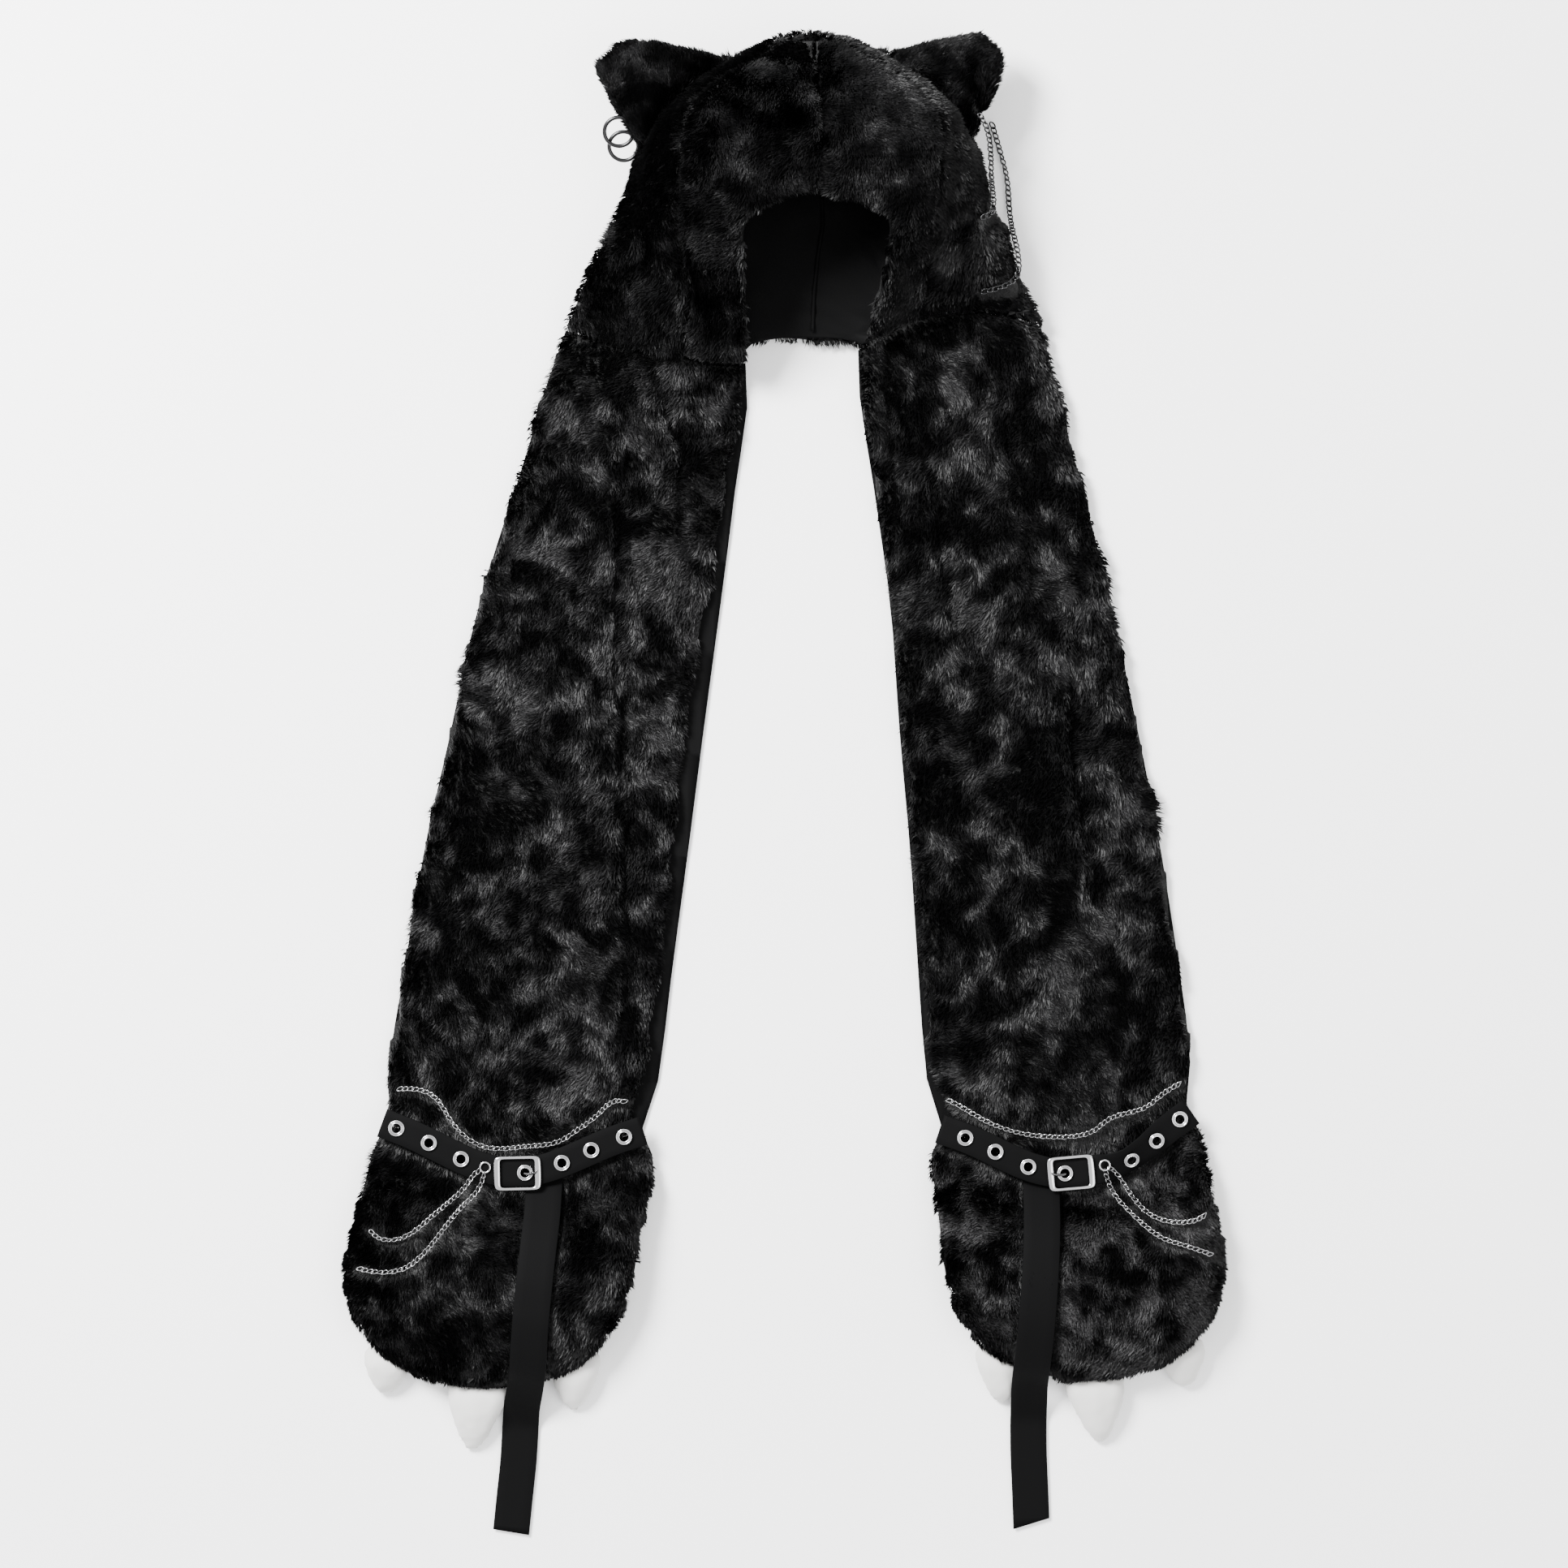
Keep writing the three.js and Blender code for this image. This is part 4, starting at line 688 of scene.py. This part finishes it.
def paw_shape(points, normals):
    """Slow waves over the back of the paw."""
    wave = 0.0016 * mottle(points, 0.05, 61, 2)
    return points + normals * (wave * np.clip(normals[:, 2], 0, 1))[:, None]


mitt_pile_length = 0.0085
# Each row ends with the level of the painted sheen on that side's plush.
for side, seed, painted_sheen_level in (("left", 71, 0.36), ("right", 72, 1.2)):
    low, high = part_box("mitt_" + side)
    middle = np.array(((low[0] + high[0]) / 2, (low[1] + high[1]) / 2, 0.008))
    strap_spots = points_on("wrist_strap_" + side, "tail_strap_" + side)
    chain_spots = points_on("chain_lower_short_" + side, "chain_lower_long_" + side)
    points, faces = fur_body("mitt_" + side, voxel=0.0040, settle=4, inset=0.0026,
                             shape=paw_shape)
    grow_pile("mitt_" + side + "_pile", points, faces, 38000, mitt_pile_length, (0, -1, 0), seed,
              [(strap_spots, 0.006), (chain_spots, 0.005)], middle, painted_sheen_level=painted_sheen_level)

# Claws.
# Three off-white padded claws on each mitten, sewn into the toe seam, each a stuffed cloth point
# with small puckers where the cloth is drawn in at the tip.
claw_white, shader = material("claw_white", Base_Color=(0.54, 0.535, 0.52, 1), Roughness=0.6,
                              Sheen_Weight=0.2, Specular_IOR_Level=0.35)
grain(claw_white, shader, 1100, 0.12, 0.0003)

claw_swell, pucker_reach = 0.0016, 0.032
for side in ("left", "right"):
    for place, seed in (("inner", 81), ("middle", 82), ("outer", 83)):
        name = "claw_" + place + "_" + side
        points, faces = soft_copy(name, voxel=0.0026, settle=3)
        normals = point_normals(points, faces)
        points = puffed(name, points + claw_swell * normals, faces, pressure=3, cap=0.0035)
        tip = points[points[:, 1].argmin()]
        close = np.clip(1 - np.linalg.norm(points - tip, axis=1) / pucker_reach, 0, 1)
        pucker = np.sin(points[:, 0] * 900 + 5 * mottle(points, 0.012, seed, 2))
        points += normals * (0.0004 * close * pucker + 0.0004 * mottle(points, 0.014, seed, 2))[:, None]
        points[:, 2] = np.maximum(points[:, 2], 0.0002)
        claw = mesh_piece(name + "_cloth", points, faces, claw_white)
        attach(claw, "root")
        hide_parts(name)

# Wrist straps.
# A flat black strap is stitched down across each wrist from side seam to side seam, with seven
# eyelets punched through. On one wrist it is turned over on the way up to the seam.
strap_black, shader = material("strap_black", Base_Color=(0.0018, 0.0018, 0.0019, 1), Roughness=0.7,
                               Specular_IOR_Level=0.035)
grain(strap_black, shader, 1500, 0.2, 0.0003)


def band_line(name, axis, count):
    """Middle line, cross direction and up direction of a flat band, from cuts square to one axis of
    the frame. A cut's long direction and the line's own direction both lie in the band's face."""
    points, ends = node_points(name).astype(float), node_edges(name)
    a, b = points[ends[:, 0]], points[ends[:, 1]]
    low, high = points[:, axis].min(), points[:, axis].max()
    margin = 0.07 * (high - low)
    middles, cuts = [], []
    for at in np.linspace(low + margin, high - margin, count):
        hit = (a[:, axis] - at) * (b[:, axis] - at) < 0
        t = ((at - a[hit, axis]) / (b[hit, axis] - a[hit, axis]))[:, None]
        crossing = a[hit] + t * (b[hit] - a[hit])
        _, _, axes = np.linalg.svd(crossing - crossing.mean(axis=0), full_matrices=False)
        along = (crossing - crossing.mean(axis=0)) @ axes[0]
        thin = (crossing - crossing.mean(axis=0)) @ axes[1]
        centre = crossing.mean(axis=0) + axes[0] * (along.max() + along.min()) / 2
        centre = centre + axes[1] * (thin.max() + thin.min()) / 2
        way = axes[0] if not cuts or axes[0] @ cuts[-1] > 0 else -axes[0]
        middles.append(centre)
        cuts.append(way)
    return np.array(middles), np.array(cuts)


def strap_frame(name, axis, count, width):
    """The band line of a strap node, evened out, with its cross direction turned square to the line
    and its up direction."""
    middle, cut = band_line(name, axis, count)
    for _ in range(2):
        middle[1:-1] = (middle[:-2] + 2 * middle[1:-1] + middle[2:]) / 4
    along = np.gradient(middle, axis=0)
    along /= np.linalg.norm(along, axis=1, keepdims=True)
    up = np.cross(along, cut)
    up /= np.linalg.norm(up, axis=1, keepdims=True)
    up *= np.where(up[:, 2:] < 0, -1, 1)
    # The cuts stop short of the ends, which carry straight on until a corner meets the node's box.
    low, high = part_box(name)
    across = np.cross(up, along)
    steps = np.linspace(0, 1, 5)[1:, None]
    first = (low[axis] + abs(across[0, axis]) * width / 2 - middle[0, axis]) / along[0, axis]
    last = (high[axis] - abs(across[-1, axis]) * width / 2 - middle[-1, axis]) / along[-1, axis]
    middle = np.concatenate([middle[0] + steps[::-1] * first * along[0], middle,
                             middle[-1] + steps * last * along[-1]])
    across, up = (np.pad(way, ((4, 4), (0, 0)), mode="edge") for way in (across, up))
    return middle, across, up


def strap_mesh(name, made, middle, across, up, width, thick, slant=0.0, rib=0.0):
    """A closed strap along its line, the edges rounded over, with the last end cut at a slant."""
    side = np.array([-1, -0.985, -0.95, -0.5, 0, 0.5, 0.95, 0.985, 1])
    rise = np.array([0, 0.6, 0.94, 1 + rib, 1, 1 + rib, 0.94, 0.6, 0])
    over = np.stack([side, rise], axis=1)
    ring = np.concatenate([over, over[-2:0:-1] * (1, -1)])
    points = (middle[:, None] + across[:, None] * ring[None, :, :1] * width / 2
              + up[:, None] * ring[None, :, 1:] * thick / 2)
    along = np.cross(across[-1], up[-1])
    points[-1] += along * (ring[:, :1] * slant)
    return strap_like(points, name, made)


def punched(piece, spots, radius):
    """Cuts a round hole through the strap at each (middle, up) spot."""
    tools = bmesh.new()
    for middle, up in spots:
        turn = Vector(up).to_track_quat("Z", "Y").to_matrix().to_4x4()
        turn.translation = Vector(middle)
        bmesh.ops.create_cone(tools, cap_ends=True, segments=24, radius1=radius, radius2=radius,
                              depth=0.014, matrix=turn)
    mesh = bpy.data.meshes.new("punches")
    tools.to_mesh(mesh)
    tools.free()
    punch = bpy.data.objects.new("punches", mesh)
    bpy.context.collection.objects.link(punch)
    cut = piece.modifiers.new("holes", "BOOLEAN")
    cut.operation = "DIFFERENCE"
    cut.solver = "EXACT"
    cut.object = punch
    made = bpy.data.meshes.new_from_object(piece.evaluated_get(bpy.context.evaluated_depsgraph_get()))
    piece.modifiers.clear()
    piece.data = made
    bpy.data.objects.remove(punch)


wrist_width, wrist_thick, punch_radius = 0.0205, 0.0014, 0.0041
for side in ("left", "right"):
    name = "wrist_strap_" + side
    middle, across, up = strap_frame(name, 0, 60, wrist_width)
    strap = strap_mesh(name + "_band", strap_black, middle, across, up, wrist_width, wrist_thick)
    spots = [main_axes(f"eyelet_{side}_{k}") for k in range(1, 8)]
    punched(strap, [(spot[0], spot[1][2]) for spot in spots], punch_radius)
    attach(strap, "root")
    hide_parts(name)

# Eyelets.
# Steel eyelets, seven to a strap: a short barrel through the hole with a flange rolled over on top,
# which shows as two bright rings with a groove between them.
steel, _ = material("steel", Base_Color=(0.45, 0.45, 0.46, 1), Metallic=1.0, Roughness=0.15)
flange = np.array([
    # radius, height below the flange's top, both in millimetres
    (3.1, 2.6), (3.1, 0.7), (3.2, 0.3), (3.5, 0.05), (3.9, 0.0), (4.2, 0.2), (4.35, 0.7), (4.65, 0.7),
    (4.9, 0.2), (5.3, 0.22), (5.6, 0.5), (5.7, 0.85), (5.5, 1.0), (3.9, 1.0), (3.75, 1.2), (3.7, 2.6),
]) / 1000
for side in ("left", "right"):
    for k in range(1, 8):
        name = f"eyelet_{side}_{k}"
        middle, axes, half = main_axes(name)
        turn = np.linspace(0, 2 * np.pi, 36, endpoint=False)[:, None, None]
        out = np.cos(turn) * axes[0] + np.sin(turn) * axes[1]
        top = middle + axes[2] * half[2]
        points = top + out * flange[None, :, :1] - axes[2] * flange[None, :, 1:]
        eyelet = mesh_piece(name + "_ring", points.reshape(-1, 3), closed_grid(points), steel)
        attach(eyelet, "root")
        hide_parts(name)

# Buckles.
# A pressed steel frame with two broad flat end bars and thin round side bars, and a short prong that
# comes up through the nearest eyelet and rests on the outer end bar.
tongue_steel, _ = material("tongue_steel", Base_Color=(0.1, 0.1, 0.102, 1), Metallic=1.0, Roughness=0.2)
end_bar, side_bar, bar_half_thick = 0.0045, 0.0022, 0.0012
tongue_half_wide, tongue_arch = 0.0012, 0.0012
for side, outer in (("left", 1), ("right", -1)):
    name = "buckle_frame_" + side
    middle, axes, half = main_axes(name)
    turn = np.linspace(0, 2 * np.pi, 128, endpoint=False)

    def rounded(half_long, half_wide, power):
        """A rounded rectangle as a superellipse: a high power squares its corners."""
        c, s = np.cos(turn), np.sin(turn)
        size = (np.abs(c) ** power + np.abs(s) ** power) ** (-1 / power)
        return np.stack([half_long * size * c, half_wide * size * s], axis=1)

    outline, window = rounded(half[0], half[1], 9), rounded(half[0] - end_bar, half[1] - side_bar, 12)
    outline[:, 0] *= 1 - 0.03 * (np.abs(outline[:, 1]) / half[1]) ** 2
    around = np.linspace(0, 2 * np.pi, 14, endpoint=False)
    share = (1 - np.cos(around)) / 2
    rise = np.sign(np.sin(around)) * np.abs(np.sin(around)) ** 0.6 * bar_half_thick
    flat = outline[:, None] * (1 - share[None, :, None]) + window[:, None] * share[None, :, None]
    points = middle + flat[..., :1] * axes[0] + flat[..., 1:] * axes[1] + rise[None, :, None] * axes[2]
    frame_piece = mesh_piece("buckle_" + side, points.reshape(-1, 3), closed_grid(points)[:, ::-1], steel)
    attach(frame_piece, "root")
    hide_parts(name)

    name = "buckle_prong_" + side
    middle, axes, half = main_axes(name)
    t = np.linspace(-1, 1, 17)
    width = tongue_half_wide * np.sqrt(np.clip(1 - np.abs(t) ** 8, 0.02, 1)) * (1 - 0.25 * outer * t)
    around = np.linspace(0, 2 * np.pi, 10, endpoint=False)
    line = middle + axes[0] * (t * half[0])[:, None] + axes[2] * (tongue_arch * (1 - t ** 2))[:, None]
    points = line[:, None] + width[:, None, None] * (
        np.cos(around)[None, :, None] * axes[1] * 1.25 + np.sin(around)[None, :, None] * axes[2] * 0.8)
    prong = strap_like(points, "buckle_tongue_" + side, tongue_steel)
    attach(prong, "root")
    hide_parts(name)

# Tail straps.
# The loose end of the strap hangs from under the band over the back of the paw, past the claws and
# out on to the table. It is plain black strap with a raw cut end.
tail_width, tail_thick = 0.0255, 0.0013
for side, slant in (("left", 0.0008), ("right", -0.0034)):
    name = "tail_strap_" + side
    middle, across, up = (way[::-1] for way in strap_frame(name, 1, 70, tail_width))
    tail = strap_mesh(name + "_band", strap_black, middle, across, up, tail_width, tail_thick, slant)
    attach(tail, "root")
    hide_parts(name)

# Jump rings and chains.
# Fine steel curb chain: oval links twisted to lie flat, each through the next. The lower chains hang
# from a small round ring beside the buckle; the other ends are caught in the side seams.
chain_steel, _ = material("chain_steel", Base_Color=(0.24, 0.24, 0.245, 1), Metallic=1.0, Roughness=0.2)
jump_ring_wire = 0.0007
wire_ring("jump_ring_left_wire", "jump_ring_left", jump_ring_wire, steel)
wire_ring("jump_ring_right_wire", "jump_ring_right", jump_ring_wire, steel)

link_pitch, link_half_long, link_twist, link_slant = 0.0037, 0.0026, 0.0006, 0.3
link_steps, link_sides = 18, 6


def tube_line(name):
    """Middle line of a tube node: starts with the ring of points at its end, then takes the next
    ring of neighbours again and again, and keeps each ring's mean."""
    rounded = np.round(node_points(name).astype(float), 5)
    places, same = np.unique(rounded, axis=0, return_inverse=True)
    near = [set() for _ in places]
    for a, b in same.reshape(-1)[node_edges(name)].tolist():
        near[a].add(b)
        near[b].add(a)
    end = places[np.linalg.norm(places - places.mean(axis=0), axis=1).argmax()]
    ring = set(np.argsort(np.linalg.norm(places - end, axis=1))[:8].tolist())
    seen, line = set(ring), []
    while ring:
        line.append(places[list(ring)].mean(axis=0))
        ring = set().union(*(near[k] for k in ring)) - seen
        seen |= ring
    return np.array(line)


def chain_piece(name, seed, made, link_half_wide, link_wire, ring=None):
    """Links set along the tube's line at one pitch, every other one tilted the other way, with a slow
    roll along the chain. With a ring, the nearer end is carried on to pass through it."""
    rng = np.random.default_rng(seed)
    line = tube_line(name)
    if ring:
        hub = main_axes(ring)[0]
        if np.linalg.norm(line[-1] - hub) < np.linalg.norm(line[0] - hub):
            line = line[::-1]
        away = line[0] - hub
        line = np.concatenate([[hub + away * 0.0026 / np.linalg.norm(away)], line])
    far = np.concatenate([[0], np.cumsum(np.linalg.norm(np.diff(line, axis=0), axis=1))])
    fine = np.linspace(0, far[-1], int(far[-1] / 0.0008))
    smooth = np.stack([np.interp(fine, far, line[:, k]) for k in range(3)], axis=1)
    for _ in range(14):
        smooth[1:-1] = (smooth[:-2] + smooth[1:-1] + smooth[2:]) / 3
    count = int(far[-1] / link_pitch)
    at = np.linspace(link_half_long, far[-1] - link_half_long, count)
    spot = np.stack([np.interp(at, fine, smooth[:, k]) for k in range(3)], axis=1)
    along = np.gradient(spot, axis=0)
    along /= np.linalg.norm(along, axis=1, keepdims=True)
    up = np.array((0.0, 0.0, 1.0)) - along * along[:, 2:]
    up /= np.linalg.norm(up, axis=1, keepdims=True)
    step = np.arange(count)
    roll = 0.45 * np.sin(step * 0.33 + seed) + 0.3 * np.sin(step * 0.14 + 2 * seed)
    roll = (roll + np.where(step % 2, 0.22, -0.22) + rng.normal(0, 0.07, count))[:, None]
    side = np.cross(up, along)
    side, up = side * np.cos(roll) + up * np.sin(roll), up * np.cos(roll) - side * np.sin(roll)
    turn = np.linspace(0, 2 * np.pi, link_steps, endpoint=False)
    oval = np.stack([link_half_long * np.cos(turn), link_half_wide * np.sin(turn),
                     link_twist * np.sin(2 * turn)], axis=1)
    way = np.roll(oval, -1, axis=0) - np.roll(oval, 1, axis=0)
    way /= np.linalg.norm(way, axis=1, keepdims=True)
    out = oval * (1, 1, 0) - way * ((oval * (1, 1, 0)) * way).sum(axis=1, keepdims=True)
    out /= np.linalg.norm(out, axis=1, keepdims=True)
    lift = np.cross(way, out)
    around = np.linspace(0, 2 * np.pi, link_sides, endpoint=False)[None, :, None]
    tube = oval[:, None] + link_wire * (np.cos(around) * out[:, None] + np.sin(around) * lift[:, None])
    faces = closed_grid(tube)
    tube = tube.reshape(-1, 3)
    along, side = (along * math.cos(link_slant) + side * math.sin(link_slant),
                   side * math.cos(link_slant) - along * math.sin(link_slant))
    basis = np.stack([along, side, up], axis=1)
    points = spot[:, None] + np.einsum("pk,nkx->npx", tube, basis)
    all_faces = (faces[None] + (np.arange(count) * len(tube))[:, None, None]).reshape(-1, 4)
    piece = mesh_piece(name + "_links", points.reshape(-1, 3), all_faces, made)
    wide = math.ceil(math.sqrt(count))
    cell = np.stack([step % wide, step // wide], axis=1)[:, None, None]
    start = np.stack(np.divmod(np.arange(len(faces)), link_sides), axis=1)[:, None]
    corner = start + np.array([(0, 0), (1, 0), (1, 1), (0, 1)])
    spread = (cell + 0.05 + 0.9 * corner / (link_steps, link_sides)) / wide
    piece.data.uv_layers.new(name="OFBake").data.foreach_set("uv", spread.astype(np.float32).ravel())
    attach(piece, "root")
    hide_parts(name)


chain_names = ("ear_chain_short", "ear_chain_long",
               "chain_upper_left", "chain_lower_short_left", "chain_lower_long_left",
               "chain_upper_right", "chain_lower_short_right", "chain_lower_long_right")
for seed, name in enumerate(chain_names):
    if name.startswith("ear"):
        chain_piece(name, seed + 1, dark_steel, 0.0015, 0.00052)
    else:
        ring = "jump_ring_" + name.split("_")[-1] if "lower" in name else None
        chain_piece(name, seed + 1, chain_steel, 0.0013, 0.00037, ring)

low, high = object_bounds()
